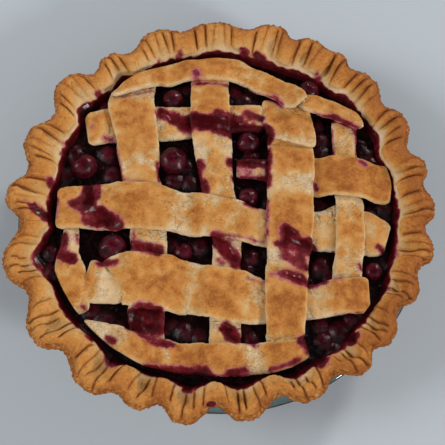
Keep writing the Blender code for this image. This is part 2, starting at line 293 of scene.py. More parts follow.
def new_group(name, marks):
    """A shader node group that turns a vertex's marks into a colour, roughness and height."""
    group = bpy.data.node_groups.new(name, "ShaderNodeTree")
    for mark in marks:
        group.interface.new_socket(mark, in_out="INPUT", socket_type="NodeSocketFloat")
    for socket, kind in GROUP_OUTPUTS.items():
        group.interface.new_socket(socket, in_out="OUTPUT", socket_type=kind)
    given = group.nodes.new("NodeGroupInput").outputs
    return group, given, add_node(group, "TexCoord", {}).outputs["Object"]


def close_group(group, *results):
    output = group.nodes.new("NodeGroupOutput")
    for socket, value in zip(GROUP_OUTPUTS, results):
        group.links.new(value, output.inputs[socket])


def use_group(tree, shader, group, marks, bump_distance, bump_strength=1.0):
    """Let a group, fed with the vertices' marks, colour a shader and raise its surface."""
    node = tree.nodes.new("ShaderNodeGroup")
    node.node_tree = group
    for mark in marks:
        attribute = add_node(tree, "Attribute", {}, attribute_name=mark.lower())
        tree.links.new(attribute.outputs["Fac"], node.inputs[mark])
    tree.links.new(node.outputs["Colour"], shader.inputs["Base Color"])
    tree.links.new(node.outputs["Roughness"], shader.inputs["Roughness"])
    add_bump(tree, shader, node.outputs["Height"], bump_distance, bump_strength)


def pastry_seams(group, place):
    """How far a place lies from the bent seams between the plates of stretched pastry."""
    bend = add_node(group, "TexNoise", {"Vector": place, "Scale": SEAM_BEND_SCALE, "Detail": 2.0})
    bent = mixed(group, SEAM_BEND, place, bend.outputs["Color"], "VECTOR")
    return add_node(group, "TexVoronoi", {"Vector": bent, "Scale": SEAM_SCALE},
                    feature="DISTANCE_TO_EDGE").outputs["Distance"]


def baked_pastry_group():
    """Baked pastry, from pale dough to brown, with juice soaked in or lying on it."""
    group, given, place = new_group("baked_pastry", PASTRY_MARKS)
    textures = {name: noise_at(group, place, *noise_sizes)
                for name, noise_sizes in PASTRY_NOISES.items()}
    fleck = math_node(group, "SUBTRACT", textures["fleck"], 0.5)
    grain = textures["grain"]
    stretched = given["Crack"]
    seams = pastry_seams(group, place)

    # Browning, with flecks that are stronger where it is darker, and pale seams.
    bake = uneven(group, given["Bake"],
                  [(textures[name], amount) for name, amount in BROWNING_NOISES.items()])
    coarse = math_node(group, "MULTIPLY_ADD", bake, 0.9, 0.10)
    fine = math_node(group, "SUBTRACT", grain, 0.5)
    fine = math_node(group, "MULTIPLY_ADD", fleck, FLECK_IN_BROWNING, fine)
    bake = math_node(group, "MULTIPLY_ADD", fine, coarse, bake)
    near_seam = math_node(group, "MULTIPLY", ranged(group, seams, 0.20, 0.03), stretched)
    bake = math_node(group, "MULTIPLY_ADD", near_seam, -SEAM_PALENESS, bake)
    colour = colour_ramp(group, bake, PASTRY_BROWNING)

    # Light and dark grains, which show less on pale dough.
    toasted = ranged(group, bake, 0.15, 0.55, 0.35, 1.0)
    shade = math_node(group, "MULTIPLY_ADD", grain, 1.4, 0.30)
    shade = math_node(group, "MULTIPLY_ADD", fleck, FLECK_IN_SHADE, shade)
    shade = math_node(group, "SUBTRACT", shade, 1.0)
    shade = math_node(group, "MULTIPLY_ADD", shade, toasted, 1.0)
    colour = mixed(group, 1.0, colour, shade, blend="MULTIPLY")

    # Dark specks and pores, and creases and cracks darkened: partly browning, partly painted shade.
    cells = add_node(group, "TexVoronoi", {"Vector": place, "Scale": SPECK_SCALE}).outputs
    chosen = add_node(group, "SeparateColor", {"Color": cells["Color"]}).outputs["Red"]
    specks = math_node(group, "MULTIPLY", ranged(group, cells["Distance"], 0.19, 0.05),
                       ranged(group, chosen, 0.62, 0.70))
    specks = math_node(group, "MULTIPLY", specks, toasted)
    pores = math_node(group, "MULTIPLY", toasted, ranged(group, textures["pitting"], 0.66, 0.76))
    cracks = math_node(group, "MULTIPLY", ranged(group, seams, 0.05, 0.004), stretched)
    crease = math_node(group, "MULTIPLY_ADD", cracks, 0.26,
                       ranged(group, given["Crease"], 0.25, 0.9), clamp=True)
    for mask, share, brown in ((specks, SPECK_SHARE, SPECK_BROWN), (pores, PORE_SHARE, SPECK_BROWN),
                               (crease, CREASE_SHARE, CREASE_BROWN_AND_SHADE)):
        colour = mixed(group, math_node(group, "MULTIPLY", mask, share), colour, brown)

    # Juice, with a ragged edge, which darkens with its depth.
    ragged = math_node(group, "MULTIPLY_ADD", textures["mottle"], 0.42, -0.21)
    ragged = math_node(group, "SUBTRACT", ragged, 0.10)
    ragged = math_node(group, "MULTIPLY_ADD", grain, 0.20, ragged)
    touched = ranged(group, given["Juice"], 0.02, 0.20)
    juice = math_node(group, "MULTIPLY_ADD", ragged, touched, given["Juice"], clamp=True)
    depth = math_node(group, "MULTIPLY_ADD", juice, 1.35, -0.48, clamp=True)
    depth = uneven(group, depth,
                   [(textures[name], amount) for name, amount in DEPTH_NOISES.items()], clamp=True)
    colour = mixed(group, ranged(group, juice, 0.10, 0.50), colour,
                   colour_ramp(group, depth, JUICE_SOAK))

    # Dry pastry is dull, and wet pastry is glossy and smoother.
    dry = math_node(group, "MULTIPLY_ADD", grain, 0.25, 0.48)
    wet = ranged(group, juice, 0.4, 0.75)
    roughness = mixed(group, wet, dry, WET_ROUGHNESS, "FLOAT")
    textures.update(pores=pores, specks=specks, crease=crease)
    relief = math_node(group, "MULTIPLY", ranged(group, seams, 0.0, 0.22), stretched)
    for name, raised in PASTRY_RAISED.items():
        relief = math_node(group, "MULTIPLY_ADD", textures[name], raised, relief)
    calm = math_node(group, "MULTIPLY_ADD", wet, -WET_CALM, 1.0)
    close_group(group, colour, roughness, math_node(group, "MULTIPLY", relief, calm))
    return group


PASTRY_GROUP = baked_pastry_group()


def pastry_material(name, bump_strength=1.0):
    material, tree, shader = new_material(
        name, {"IOR": PASTRY_IOR, "Specular IOR Level": PASTRY_SPECULAR})
    use_group(tree, shader, PASTRY_GROUP, PASTRY_MARKS, PASTRY_RELIEF, bump_strength)
    return material


def mark_vertices(builder, *names):
    return [builder.verts.layers.float.new(name) for name in names]


builder = bmesh.new()
bake_layer, juice_layer = mark_vertices(builder, "bake", "juice")
section = rounded_path(LINING_SECTION, LINING_ROUNDING, LINING_ROUNDING_STEPS)
line = [builder.verts.new((point.x, 0.0, point.y)) for point in section]
edges = [builder.edges.new(pair) for pair in zip(line, line[1:])]
long_edges = [edge for edge in edges if edge.calc_length() > LINING_LONG_SIDE]
bmesh.ops.subdivide_edges(builder, edges=long_edges, cuts=LINING_CUTS)
bmesh.ops.spin(builder, geom=builder.verts[:] + builder.edges[:], cent=(0.0, 0.0, 0.0),
               axis=(0.0, 0.0, 1.0), angle=math.tau, steps=LINING_STEPS, use_merge=True)
for vertex in builder.verts:
    x, y, z = vertex.co
    vertex[bake_layer] = (LINING_BAKE + LINING_BAKE_RISE * z
                          + LINING_BAKE_PATCHES * wobble(x, y, z, LINING_PATCH_SIZE, 4.0))
    stained = wobble(x, y, z, LINING_STAIN_SIZE, 8.0) - LINING_STAIN_FROM
    vertex[juice_layer] = LINING_STAIN * smoothstep(stained / LINING_STAIN_OVER)
finish_piece(builder, "crust_lining", pastry_material("lining_pastry", LINING_BUMP), "crust",
             "pastry_shell")

# Pinched edge ---------------------------------------------------------------------------------
# The crust's edge, turned over on the dish's rim and pinched by hand into folds that wave in and
# out. The folds carry sharp pleats, the lip shows flaky layers, and juice has soaked the inside.

EDGE_STATIONS = 1560
# Each fold anticlockwise: the turn in degrees from its crest to the dent after it, from there to
# the next crest, and how far out the crest and the dent reach.
FOLDS = ((8, 5, 128, 123), (6, 10, 128, 121), (6, 9, 129, 123), (6, 5, 130, 126),
         (3, 6, 131, 129), (5, 6, 131, 126), (9, 9, 132, 125), (10, 7, 130, 125),
         (10, 6, 130, 121), (6, 8, 128, 122), (11, 8, 133, 121), (10, 8, 129, 120),
         (9, 12, 129, 120), (9, 11, 132, 124), (8, 10, 134, 125), (8, 5, 133, 126),
         (6, 6, 129, 122), (9, 7, 130, 119), (10, 8, 127, 118), (8, 8, 126, 120),
         (5, 5, 128, 122), (8, 6, 127, 120), (7, 6, 126, 122), (7, 5, 128, 122))
FIRST_CREST = -1.0
# Where the filling's juice stops on the crust, all round: the angle and the radius.
JUICE_LINE = ((-20, 107.5), (-10, 106.5), (0, 107), (10, 106.5), (20, 105), (27, 109), (36, 110),
              (43, 110.5), (50, 108), (58, 108.5), (66, 106.5), (73, 107), (79, 107.5), (86, 110),
              (93, 110), (100, 108), (108, 109), (115, 109), (120, 107), (125, 111), (130, 108),
              (136, 109.5), (142, 112), (148, 106.5), (155, 106), (162, 104.5), (168, 103.5),
              (175, 104.5), (181, 104.5), (186, 103.5), (190, 108), (195, 115.5), (201, 113),
              (206, 110.5), (213, 111.5), (220, 110.5), (228, 109), (236, 110.5), (245, 109),
              (253, 107.5), (260, 110), (268, 105.5), (275, 108.5), (285, 105.5), (292, 110),
              (300, 109), (310, 109.5), (320, 107.5), (330, 109), (340, 107.5))
# Where the edge's section is modelled, counted along its ten points.
EDGE_POSITIONS = ([0.0, 0.5, 1.0, 1.5] + [1.8 + step * 0.12 for step in range(56)]
                  + [8.55, 8.78, 9.0])
EDGE_END = 9.0
# Spans of section positions: the start, how long they take to set in, the end and how long they
# take to end. One is free of the dish and the filling, and the other is the lip's flaky face.
FREE_SPAN = (1.5, 1.0, EDGE_END, 1.5)
FLAKY_SPAN = (1.9, 0.4, 4.4, 0.6)
# The dish's sloping rim, which carries the edge.
RIM_START = 111.5
RIM_END = 120.9
RIM_BREADTH = 9.4
RIM_FOOT = 37.25
RIM_RISE = 2.6
EDGE_FOOT = 112.0
EDGE_RADIUS = 120.0
EDGE_LENGTH = 800.0
# How far the whole edge wanders up and down, and in and out.
EDGE_WANDER = 0.9
# The share of the way to the dents beside it over which a fold's crest is pleated.
PLEATED_SHARE = 0.74
PLEAT_SPACING = 2.7
# How far off its even place a pleat may lie, in parts of the spacing.
PLEAT_SCATTER = 0.2
# A full pleat's depth and breadth, and the shares of that depth that pleats may have.
PLEAT_DEPTH = 2.3
PLEAT_BREADTH = 3.1
PLEAT_DEPTHS = (0.45, 0.7, 0.9, 1.0)
PLEAT_SHARPNESS = 2.5
# The section positions between which pleats may start and end, and over how far they fade.
PLEAT_STARTS = (3.5, 4.7)
PLEAT_ENDS = (7.8, 8.9)
FRONT_PLEAT_LONGER = 0.5
PLEAT_FADE_IN = 0.6
PLEAT_FADE_OUT = 0.9
# Pleats lean by up to this much about one section position.
PLEAT_SWAY = 0.8
PLEAT_PIVOT = 5.5
# The dark line at a pleat's bottom, partly painted shade, in stations to each side.
CREASE_BREADTH = 2.4
PLEAT_SEED = 7
# The dough's bumps: how far they stand out, and their size.
DOUGH_BUMPS = ((0.40, 6.0), (0.26, 2.6), (0.13, 1.2))
FLAKE_DEPTH = 0.9
FLAKE_GRAIN = 0.85
LEDGE_DEPTH = 0.8
HAIR_DEPTH = 0.45
# How dark the folds between flakes, the ledge and the hairline folds are, partly painted shade.
FLAKE_CREASE = 0.75
LEDGE_CREASE = 0.62
HAIR_CREASE = 0.62
# How thin the hairline folds between the pleats are.
HAIR_THINNESS = 7.0
# How high the filling's juice has wetted the inner wall, and over how far it fades.
WALL_JUICE_TOP = 41.4
WALL_JUICE_FADE = 3.6
# Browning along the edge's section, from under the lip over the top to the inside.
# It holds painted light and shade as well: the lip's top is kept lighter and its outer face darker.
EDGE_BAKE_AND_SHADE = (0.5, 0.6, 0.80, 0.98, 0.88, 0.66, 0.58, 0.34, 0.12, 0.04)
# The line along the lip where its flaky outer face begins, as a section position.
LEDGE = 4.15
# Juice that boiled up the inner edge: the angle, the half angle, how far out it reaches, its
# strength, and how it leans, in degrees for each millimetre outwards.
EDGE_STAINS = ((-27, 1.5, 111.5, 0.5, 0), (-15.5, 1.8, 110, 0.5, 0), (55.5, 2, 112, 0.55, 0),
               (76.5, 3.4, 112, 0.75, 0), (82, 2.6, 110, 0.62, 0), (104.5, 2.4, 111.5, 0.5, 0),
               (111.2, 0.8, 113, 0.45, 0), (135, 1.6, 112.5, 0.6, 0), (142, 3.2, 113, 0.85, 0),
               (156, 1.1, 112, 0.4, 0), (159.5, 1.2, 107, 0.5, 0), (171, 2.8, 108, 0.6, 0),
               (175.5, 1.1, 107, 0.5, 0), (183.5, 3.4, 119, 1.0, -0.36),
               (227, 2.2, 111.5, 0.7, 0), (236.5, 4, 116.5, 1.0, 0), (260, 2.2, 114, 0.9, 0),
               (301.3, 3.4, 115, 1.0, 0), (313, 3.2, 114.5, 1.0, 0), (318, 1.5, 109, 0.6, 0))
# One drop of juice on the outside of a dent: its angle, radius and size, and the section
# position up to which it lies on the lip's face.
OUTER_DROP = (267.3, 118.0, 3.6)
OUTER_DROP_END = 4.9


def spanned(value, start, rise, end, fall):
    """1 between a start and an end, and 0 outside them, with a soft rise and fall."""
    return smoothstep((value - start) / rise) * smoothstep((end - value) / fall)


def on_dish_rim(radius):
    """The height at which pastry presses on the dish's sloping rim."""
    return RIM_FOOT + RIM_RISE * min((radius - RIM_START) / RIM_BREADTH, 1.0)


def juice_line_at(angle):
    """The radius where the filling's juice stops on the crust."""
    first_angle = JUICE_LINE[0][0]
    angle = (angle - first_angle) % 360.0 + first_angle
    for (start, first), (end, last) in zip(JUICE_LINE, JUICE_LINE[1:]):
        if start <= angle <= end:
            return first + (last - first) * smoothstep((angle - start) / (end - start))
    return JUICE_LINE[0][1]


def wall_foot(line):
    """The lowest point of the edge's inner wall, which stays clear of the dish's rim."""
    return (line - 3.5, 34.5 + 2.6 * smoothstep((line - 109.0) / 6.0))


def fold_section(reach, line, hollow):
    """Radius and height through a fold's crest, from the dish's rim outwards, over the lip and
    down behind it to the filling, as a long slope or as a hollow behind a round lip."""
    return [Vector(point) for point in (
        (EDGE_FOOT, on_dish_rim(EDGE_FOOT)), (RIM_END, on_dish_rim(RIM_END)), (reach - 4.0, 40.0),
        (reach - 0.2, 41.4), (reach - 1.3, 45.2), (reach - 5.4, 48.8),
        (reach - 9.4 + 0.6 * hollow, 47.0),
        ((reach + line) / 2.0 - 2.7 + 1.6 * hollow, 43.6 - 2.0 * hollow),
        (line + 2.2, 41.0 - 0.3 * hollow), wall_foot(line))]


def dent_section(reach, line):
    """The same through the dent between two folds, where the edge stands up and bulges inwards."""
    under = min(reach - 3.6, RIM_END)
    return [Vector(point) for point in (
        (EDGE_FOOT, on_dish_rim(EDGE_FOOT)), (under, on_dish_rim(under)), (reach - 1.4, 40.2),
        (reach, 42.0), (reach - 1.4, 46.0), (reach - 5.2, 49.4), (line + 4.2, 48.4),
        (line + 0.6, 45.2), (line + 0.2, 41.0), wall_foot(line))]


def swing(near_crest, number):
    """How far a line of the edge has swung out: the lip has broad crests, the inside broad
    dents."""
    inside = smoothstep((number - 3.0) / 4.0)
    return smoothstep((near_crest - 0.04 - 0.16 * inside) / (0.76 + 0.04 * inside))


def fold_stations():
    """Angle, nearness to the crest, and the crest's and the dent's reach, all round the edge."""
    marks = []
    crest_angle = FIRST_CREST
    for index, (to_dent, to_next, crest, dent) in enumerate(FOLDS):
        following = FOLDS[(index + 1) % len(FOLDS)][2]
        marks.append((crest_angle, crest_angle + to_dent, 1.0, 0.0, crest, dent))
        marks.append((crest_angle + to_dent, crest_angle + to_dent + to_next, 0.0, 1.0,
                      following, dent))
        crest_angle += to_dent + to_next
    stations = []
    for index in range(EDGE_STATIONS):
        angle = FIRST_CREST + 360.0 * index / EDGE_STATIONS
        start, end, first, last, crest, dent = next(mark for mark in marks if angle < mark[1])
        share = (angle - start) / (end - start)
        stations.append((angle, first + (last - first) * share, crest, dent))
    return stations


def pleat_columns(chance):
    """The stations that run down a pleat, each with the pleat's depth, the section positions
    where it starts and ends, and its sway."""
    pleats = {}
    crest_angle = FIRST_CREST
    for index, (to_dent, to_next, _, _) in enumerate(FOLDS):
        before = FOLDS[index - 1][1]
        breadth = PLEATED_SHARE * (before + to_dent)
        count = max(2, round(breadth / PLEAT_SPACING))
        for number in range(count):
            share = (number + 0.5 + chance.uniform(-PLEAT_SCATTER, PLEAT_SCATTER)) / count
            angle = crest_angle - PLEATED_SHARE * before + breadth * share
            column = round((angle - FIRST_CREST) / 360.0 * EDGE_STATIONS) % EDGE_STATIONS
            start = chance.uniform(*PLEAT_STARTS)
            end = chance.uniform(*PLEAT_ENDS)
            at_front = math.sin(math.radians(angle)) < -0.6
            if at_front:
                end += FRONT_PLEAT_LONGER
            sway = chance.uniform(-PLEAT_SWAY, PLEAT_SWAY)
            pleats[column] = (chance.choice(PLEAT_DEPTHS), start, end, sway)
        crest_angle += to_dent + to_next
    return pleats


def angle_gap(first, second):
    return abs((first - second + 180.0) % 360.0 - 180.0)


def pleats_near(index):
    """The pleats around a station, each with its distance along the edge."""
    found = []
    for offset in range(-pleat_reach, pleat_reach + 1):
        pleat = pleats.get((index + offset) % EDGE_STATIONS)
        if pleat:
            found.append((offset * station_gap, pleat))
    return found


def pleat_marks(nearby, position, hollow):
    """How deep the pleats press a place in, and how dark their creases are there."""
    groove = 0.0
    crease = 0.0
    for offset, (deep, start, end, sway) in nearby:
        distance = abs(offset + sway * (position - PLEAT_PIVOT))
        span = spanned(position, start, PLEAT_FADE_IN, end, PLEAT_FADE_OUT)
        span *= 1.0 - 0.45 * (1.0 - hollow) * smoothstep((position - 6.0) / 2.0)
        near = max(1.0 - distance / (PLEAT_BREADTH * (1.0 - 0.3 * hollow)), 0.0)
        groove = max(groove, deep * (1.0 - 0.2 * hollow) * span * near ** PLEAT_SHARPNESS)
        crease = max(crease, min(deep + 0.1 + 0.25 * hollow, 1.0) * span
                     * max(1.0 - distance / (CREASE_BREADTH * station_gap), 0.0))
    return groove, crease


def dough_surface(x, y, z, angle, position, flaky):
    """How far the dough stands out, how dark it is creased and how sandy its flakes are."""
    # Thin flaky layers, ten times as long as they are high.
    layers = noise.noise(Vector((x / 10.0, y / 10.0, z * 0.95 + 40.0)))
    layers = 1.0 - 2.4 * abs(layers)
    sandy = wobble(x, y, z, 1.7, 12.0) + 0.6 * wobble(x, y, z, 0.9, 13.0)
    ledge = max(1.0 - abs(position + 0.12 * wobble(x, y, 0.0, 7.0, 24.0) - LEDGE) / 0.2, 0.0)
    ledge *= smoothstep((wobble(x, y, 0.0, 11.0, 25.0) + 0.35) / 0.3)
    hair = 1.0 - HAIR_THINNESS * abs(wobble(angle * 0.55, position * 0.35, 0.0, 1.0, 21.0))
    hair *= smoothstep((wobble(angle * 0.3, position * 0.7, 0.0, 1.0, 22.0) + 0.05) / 0.2)
    hair = max(hair, 0.0) * smoothstep((position - 3.8) / 0.8)
    hair *= smoothstep((8.2 - position) / 1.0)
    relief = sum(amount * wobble(x, y, z, size) for amount, size in DOUGH_BUMPS)
    relief -= smoothstep((layers - 0.55) / 0.45) * FLAKE_DEPTH * flaky
    relief += FLAKE_GRAIN * sandy * flaky
    relief += 0.45 * flaky - LEDGE_DEPTH * ledge
    relief -= HAIR_DEPTH * hair
    crease = max(FLAKE_CREASE * flaky * smoothstep((layers - 0.75) / 0.25),
                 LEDGE_CREASE * ledge, HAIR_CREASE * hair)
    return relief, crease, sandy


def section_bake_and_shade(position):
    """The browning, with its painted light and shade, at a section position, read from its table.
    """
    index = min(int(position), len(EDGE_BAKE_AND_SHADE) - 2)
    share = position - index
    return EDGE_BAKE_AND_SHADE[index] * (1.0 - share) + EDGE_BAKE_AND_SHADE[index + 1] * share


def edge_juice(angle, position, radius, height, line, ragged):
    """Juice on the edge: up to its line on the inner wall, in the stains and in the drop."""
    juice = smoothstep((WALL_JUICE_TOP + 1.2 * ragged - height) / WALL_JUICE_FADE)
    for middle, half, reach, strength, lean in EDGE_STAINS:
        gap = angle_gap(angle, middle + lean * (radius - line))
        if gap < half + 2.0:
            aside = gap / (half + 0.8)
            past = max(radius - line, 0.0) / (reach - line + 1.5)
            left = 1.0 + 0.22 * ragged - math.hypot(aside, past)
            juice = max(juice, strength * smoothstep(left / 0.85))
    juice *= smoothstep((position - 4.8) / 0.8)
    if position < OUTER_DROP_END:
        drop_angle, drop_radius, drop_size = OUTER_DROP
        aside = math.radians(angle_gap(angle, drop_angle)) * radius
        gap = math.hypot(aside, (radius - drop_radius) * 1.5) / drop_size
        juice = max(juice, 0.8 * smoothstep((1.0 + 0.4 * ragged - gap) / 0.5))
    return juice


def grid_columns(builder, x_count, y_count):
    """A new flat grid's vertices, as columns along x of vertices along y."""
    grid = bmesh.ops.create_grid(builder, x_segments=x_count, y_segments=y_count, size=0.5)
    columns = [[None] * (y_count + 1) for _ in range(x_count + 1)]
    for vertex in grid["verts"]:
        column = round((vertex.co.x + 0.5) * x_count)
        row = round((vertex.co.y + 0.5) * y_count)
        columns[column][row] = vertex
    return columns


chance = random.Random(PLEAT_SEED)
stations = fold_stations()
pleats = pleat_columns(chance)
station_gap = EDGE_LENGTH / EDGE_STATIONS
pleat_reach = int((PLEAT_BREADTH + 2.0) / station_gap) + 1
builder = bmesh.new()
bake_layer, juice_layer, crease_layer, crack_layer = mark_vertices(
    builder, "bake", "juice", "crease", "crack")

for index, column in enumerate(grid_columns(builder, EDGE_STATIONS, len(EDGE_POSITIONS))):
    angle, near_crest, crest, dent = stations[index % EDGE_STATIONS]
    turn = math.radians(angle)
    direction = Vector((math.cos(turn), math.sin(turn)))
    line = juice_line_at(angle)
    hollow = smoothstep((0.1 - direction.y) / 0.6)
    section = [inner.lerp(outer, swing(near_crest, number)) for number, (outer, inner)
               in enumerate(zip(fold_section(crest, line, hollow), dent_section(dent, line)))]
    nearby = pleats_near(index)
    around_x = direction.x * EDGE_RADIUS
    around_y = direction.y * EDGE_RADIUS
    rise = EDGE_WANDER * wobble(around_x, around_y, 0.0, 24.0)
    reach_out = EDGE_WANDER * wobble(around_x, around_y, 0.0, 13.0, 3.0)
    for row, vertex in enumerate(column):
        position = EDGE_POSITIONS[row % len(EDGE_POSITIONS)]
        point = curve_point(section, position)
        ahead = curve_point(section, min(position + 0.05, EDGE_END))
        behind = curve_point(section, max(position - 0.05, 0.0))
        along = (ahead - behind).normalized()
        outside = Vector((along.y, -along.x))
        free = spanned(position, *FREE_SPAN)
        point = point + Vector((reach_out, rise)) * free
        x = point.x * direction.x
        y = point.x * direction.y
        z = point.y
        flaky = spanned(position, *FLAKY_SPAN)
        groove, pleat_crease = pleat_marks(nearby, position, hollow)
        relief, crease, sandy = dough_surface(x, y, z, angle, position, flaky)
        point = point + outside * (relief - groove * PLEAT_DEPTH) * free
        vertex.co = (point.x * direction.x, point.x * direction.y, point.y)

        bake = section_bake_and_shade(position)
        # Deeper in the pleats' grooves the dough is browner: partly browning, partly painted shade.
        bake += 0.20 * wobble(x, y, z, 14.0, 5.0) + 0.16 * relief + 0.50 * groove
        bake += 0.60 * sandy * flaky
        # Painted shade: the inner walls at the front and the sides, the outsides of the dents
        # and the right side are made browner for the shade they lie in.
        bake += 0.12 * smoothstep((0.35 - direction.y) / 0.6) * smoothstep((position - 6.0) / 1.6)
        bake += 0.12 * (1.0 - swing(near_crest, 5.0)) * smoothstep((6.8 - position) / 1.5)
        bake += 0.24 * smoothstep((direction.x - 0.3) / 0.5) * smoothstep((8.0 - position) / 2.0)
        vertex[bake_layer] = bake
        vertex[juice_layer] = edge_juice(angle, position, point.x, z, line,
                                         wobble(x, y, z, 3.5, 7.0))
        vertex[crease_layer] = max(pleat_crease, crease)
        vertex[crack_layer] = 0.7 * flaky
finish_piece(builder, "pinched_edge", pastry_material("edge_pastry"), "crust", "pastry_shell")

# Cherry filling ---------------------------------------------------------------------------------
# Whole pitted cherries in their own set juice, nearly black where it is thick. The surface bulges
# over the cherries just below it, sinks between them and creeps up the pastry.

FILLING_LEVEL = 36.9
FILLING_ANGLES = 540
FILLING_RINGS = 106
FILLING_RADIUS = 113.5
# Radius and height of the points that close the filling below, where the bottom crust holds it.
FILLING_UNDERSIDE = ((0.0, 9.0), (86.0, 9.0), (107.4, 34.2))
# The juice sinks a little before it meets the crust, and then creeps up it: from which radius,
# how far, and over what breadth.
JUICE_SAG = (90.0, 1.4, 12.0)
JUICE_CREEP = (107.5, 1.8, 5.0)
BLEND_OF_JUICE = 1.6
# Cherries that only bulge the surface between the strips: x, y, radius and how high they stand.
SUNK_CHERRIES = (
    (-70, 38.5, 8.3, 39.4), (-66.5, 24, 7.8, 38.8), (-91, 39, 7.3, 38.2), (-95, 23, 7.8, 38.5),
    (-29, 20, 7.8, 39.5), (-18.5, 18.5, 7.8, 39.2), (-21, 30, 7.3, 38.4), (14.5, 75.5, 7.8, 39.4),
    (8.5, 82, 6.8, 38.3), (22, 72, 7.3, 38.6), (-21, 83, 6.3, 38.2), (62, 48, 7.3, 39.3),
    (60.5, 57, 6.3, 38.6), (62, 38.5, 7.3, 38.5), (89.5, 38, 7.8, 39.2), (94, 31, 6.8, 38.5),
    (86.5, 45, 6.8, 38.5), (60, 3, 7.3, 38.6), (98.5, 1.5, 7.8, 39.0), (89, -1.5, 7.3, 38.6),
    (-12.5, -23, 7.8, 39.2), (-30, -21.5, 7.3, 38.4), (17.5, -29.5, 7.8, 39.2),
    (15, -37, 6.8, 38.5), (59.5, -36, 8.8, 39.9), (65, -42, 6.8, 38.5), (-101.5, -26, 6.8, 38.8),
    (-100, -38, 6.3, 38.4), (-66.5, -68, 8.3, 39.3), (-75, -62, 7.3, 38.6), (-59, -73, 7.3, 38.8),
    (-21, -74.5, 8.3, 39.5), (-29, -70, 6.8, 38.6), (-12.5, -77.5, 7.3, 38.9),
    (17.5, -80, 7.8, 39.2), (14, -74, 6.3, 38.5), (68.5, -74.5, 8.8, 39.6), (59, -81, 7.8, 38.8),
    (76, -67, 7.3, 38.8), (57.5, -71, 7.3, 38.6), (66, -87, 7.3, 38.2), (-48.5, -16.5, 6.8, 38.2),
    (-72.5, 70.5, 6.3, 38.0), (-57, -30, 7.3, 38.6), (46, 70, 7.3, 38.0))
# More of them, scattered: how many, how far out, and between which sizes and heights.
SCATTERED_CHERRIES = 80
SCATTER_RADIUS = 97.0
SCATTER_SIZES = (6.3, 8.3)
SCATTER_TOPS = (36.9, 37.9)
SCATTER_SEED = 21
# The side of the square cells in which the sunk cherries are looked up.
CELL = 10.0
# Whole cherries that stand up out of the filling: x, y, radius and the middle's height.
CHERRIES = ((-84.5, 30, 8.2, 36.8), (-29.5, 33.5, 9.0, 36.6), (-30.5, 76.5, 6.6, 36.6),
            (-64.5, -24.0, 8.4, 37.6), (56.0, 82.0, 6.5, 38.2), (17, 46, 7.2, 36.6),
            (16.5, 8.5, 6.6, 36.6), (-22.5, -26.5, 5.6, 36.8), (90, -38.5, 5.4, 37.0))
DEEP_JUICE = (0.0022, 0.0004, 0.0006, 1.0)
THIN_JUICE = (0.018, 0.0018, 0.0032, 1.0)
SKIN_RED = (0.070, 0.0034, 0.0090, 1.0)
SKIN_DARK = (0.013, 0.0012, 0.0024, 1.0)
CHERRY_IOR = 1.38
CHERRY_SPECULAR = 0.22
JUICE_BUMP = 0.0007
# The juice's noises: how many to the metre, detail, roughness and distortion.
JUICE_CLOUD = (190.0, 4.0, 0.6, 0.8)
SKIN_WRINKLE = (620.0, 3.0, 0.6, 1.2)
SKIN_FINE = (1700.0, 2.0)


def cherry_gloss_group():
    """Cooked cherry skin and set juice: Skin is how near a cherry lies below the surface."""
    group, given, place = new_group("cherry_gloss", ("Skin",))
    cloud = noise_at(group, place, *JUICE_CLOUD)
    wrinkle = noise_at(group, place, *SKIN_WRINKLE)
    fine = noise_at(group, place, *SKIN_FINE)
    juice = mixed(group, ranged(group, cloud, 0.45, 0.75), DEEP_JUICE, THIN_JUICE)
    fruit = mixed(group, ranged(group, cloud, 0.3, 0.7), SKIN_DARK, SKIN_RED)
    colour = mixed(group, ranged(group, given["Skin"], 0.1, 0.9), juice, fruit)
    roughness = math_node(group, "MULTIPLY_ADD", wrinkle, 0.10, 0.02)
    relief = math_node(group, "MULTIPLY", fine, 0.06)
    relief = math_node(group, "MULTIPLY_ADD", wrinkle, 0.40, relief)
    relief = math_node(group, "MULTIPLY_ADD", cloud, 0.7, relief)
    close_group(group, colour, roughness, relief)
    return group


CHERRY_GROUP = cherry_gloss_group()


def cherry_material(name, bump_distance):
    material, tree, shader = new_material(
        name, {"IOR": CHERRY_IOR, "Specular IOR Level": CHERRY_SPECULAR})
    use_group(tree, shader, CHERRY_GROUP, ("Skin",), bump_distance)
    return material


def cells_of_cherries(lumps):
    cells = {}
    for lump in lumps:
        x, y, radius, _ = lump
        for cell_x in range(int((x - radius) // CELL), int((x + radius) // CELL) + 1):
            for cell_y in range(int((y - radius) // CELL), int((y + radius) // CELL) + 1):
                cells.setdefault((cell_x, cell_y), []).append(lump)
    return cells


def filling_height(x, y):
    """The height of the filling's surface, and how near a cherry lies below it."""
    out = math.hypot(x, y)
    sag_start, sag, sag_length = JUICE_SAG
    creep_start, creep, creep_length = JUICE_CREEP
    height = FILLING_LEVEL + 0.5 * wobble(x, y, 0.0, 13.0)
    height -= sag * smoothstep((out - sag_start) / sag_length)
    height += creep * smoothstep((out - creep_start) / creep_length)
    skin = 0.0
    for cherry_x, cherry_y, radius, top in near_cherries.get((int(x // CELL), int(y // CELL)), ()):
        span = math.hypot(x - cherry_x, y - cherry_y)
        if span < radius:
            cap = top - radius + math.sqrt(radius * radius - span * span)
            blend = max(BLEND_OF_JUICE - abs(height - cap), 0.0)
            skin = max(skin, smoothstep((cap - height + 1.0) / 2.0))
            height = max(height, cap) + blend * blend / (4.0 * BLEND_OF_JUICE)
    height += 0.22 * wobble(x, y, 0.0, 3.2, 2.0) + 0.10 * wobble(x, y, 0.0, 1.6, 3.0)
    return height, skin * (0.54 + 0.5 * wobble(x, y, 0.0, 26.0, 4.0))


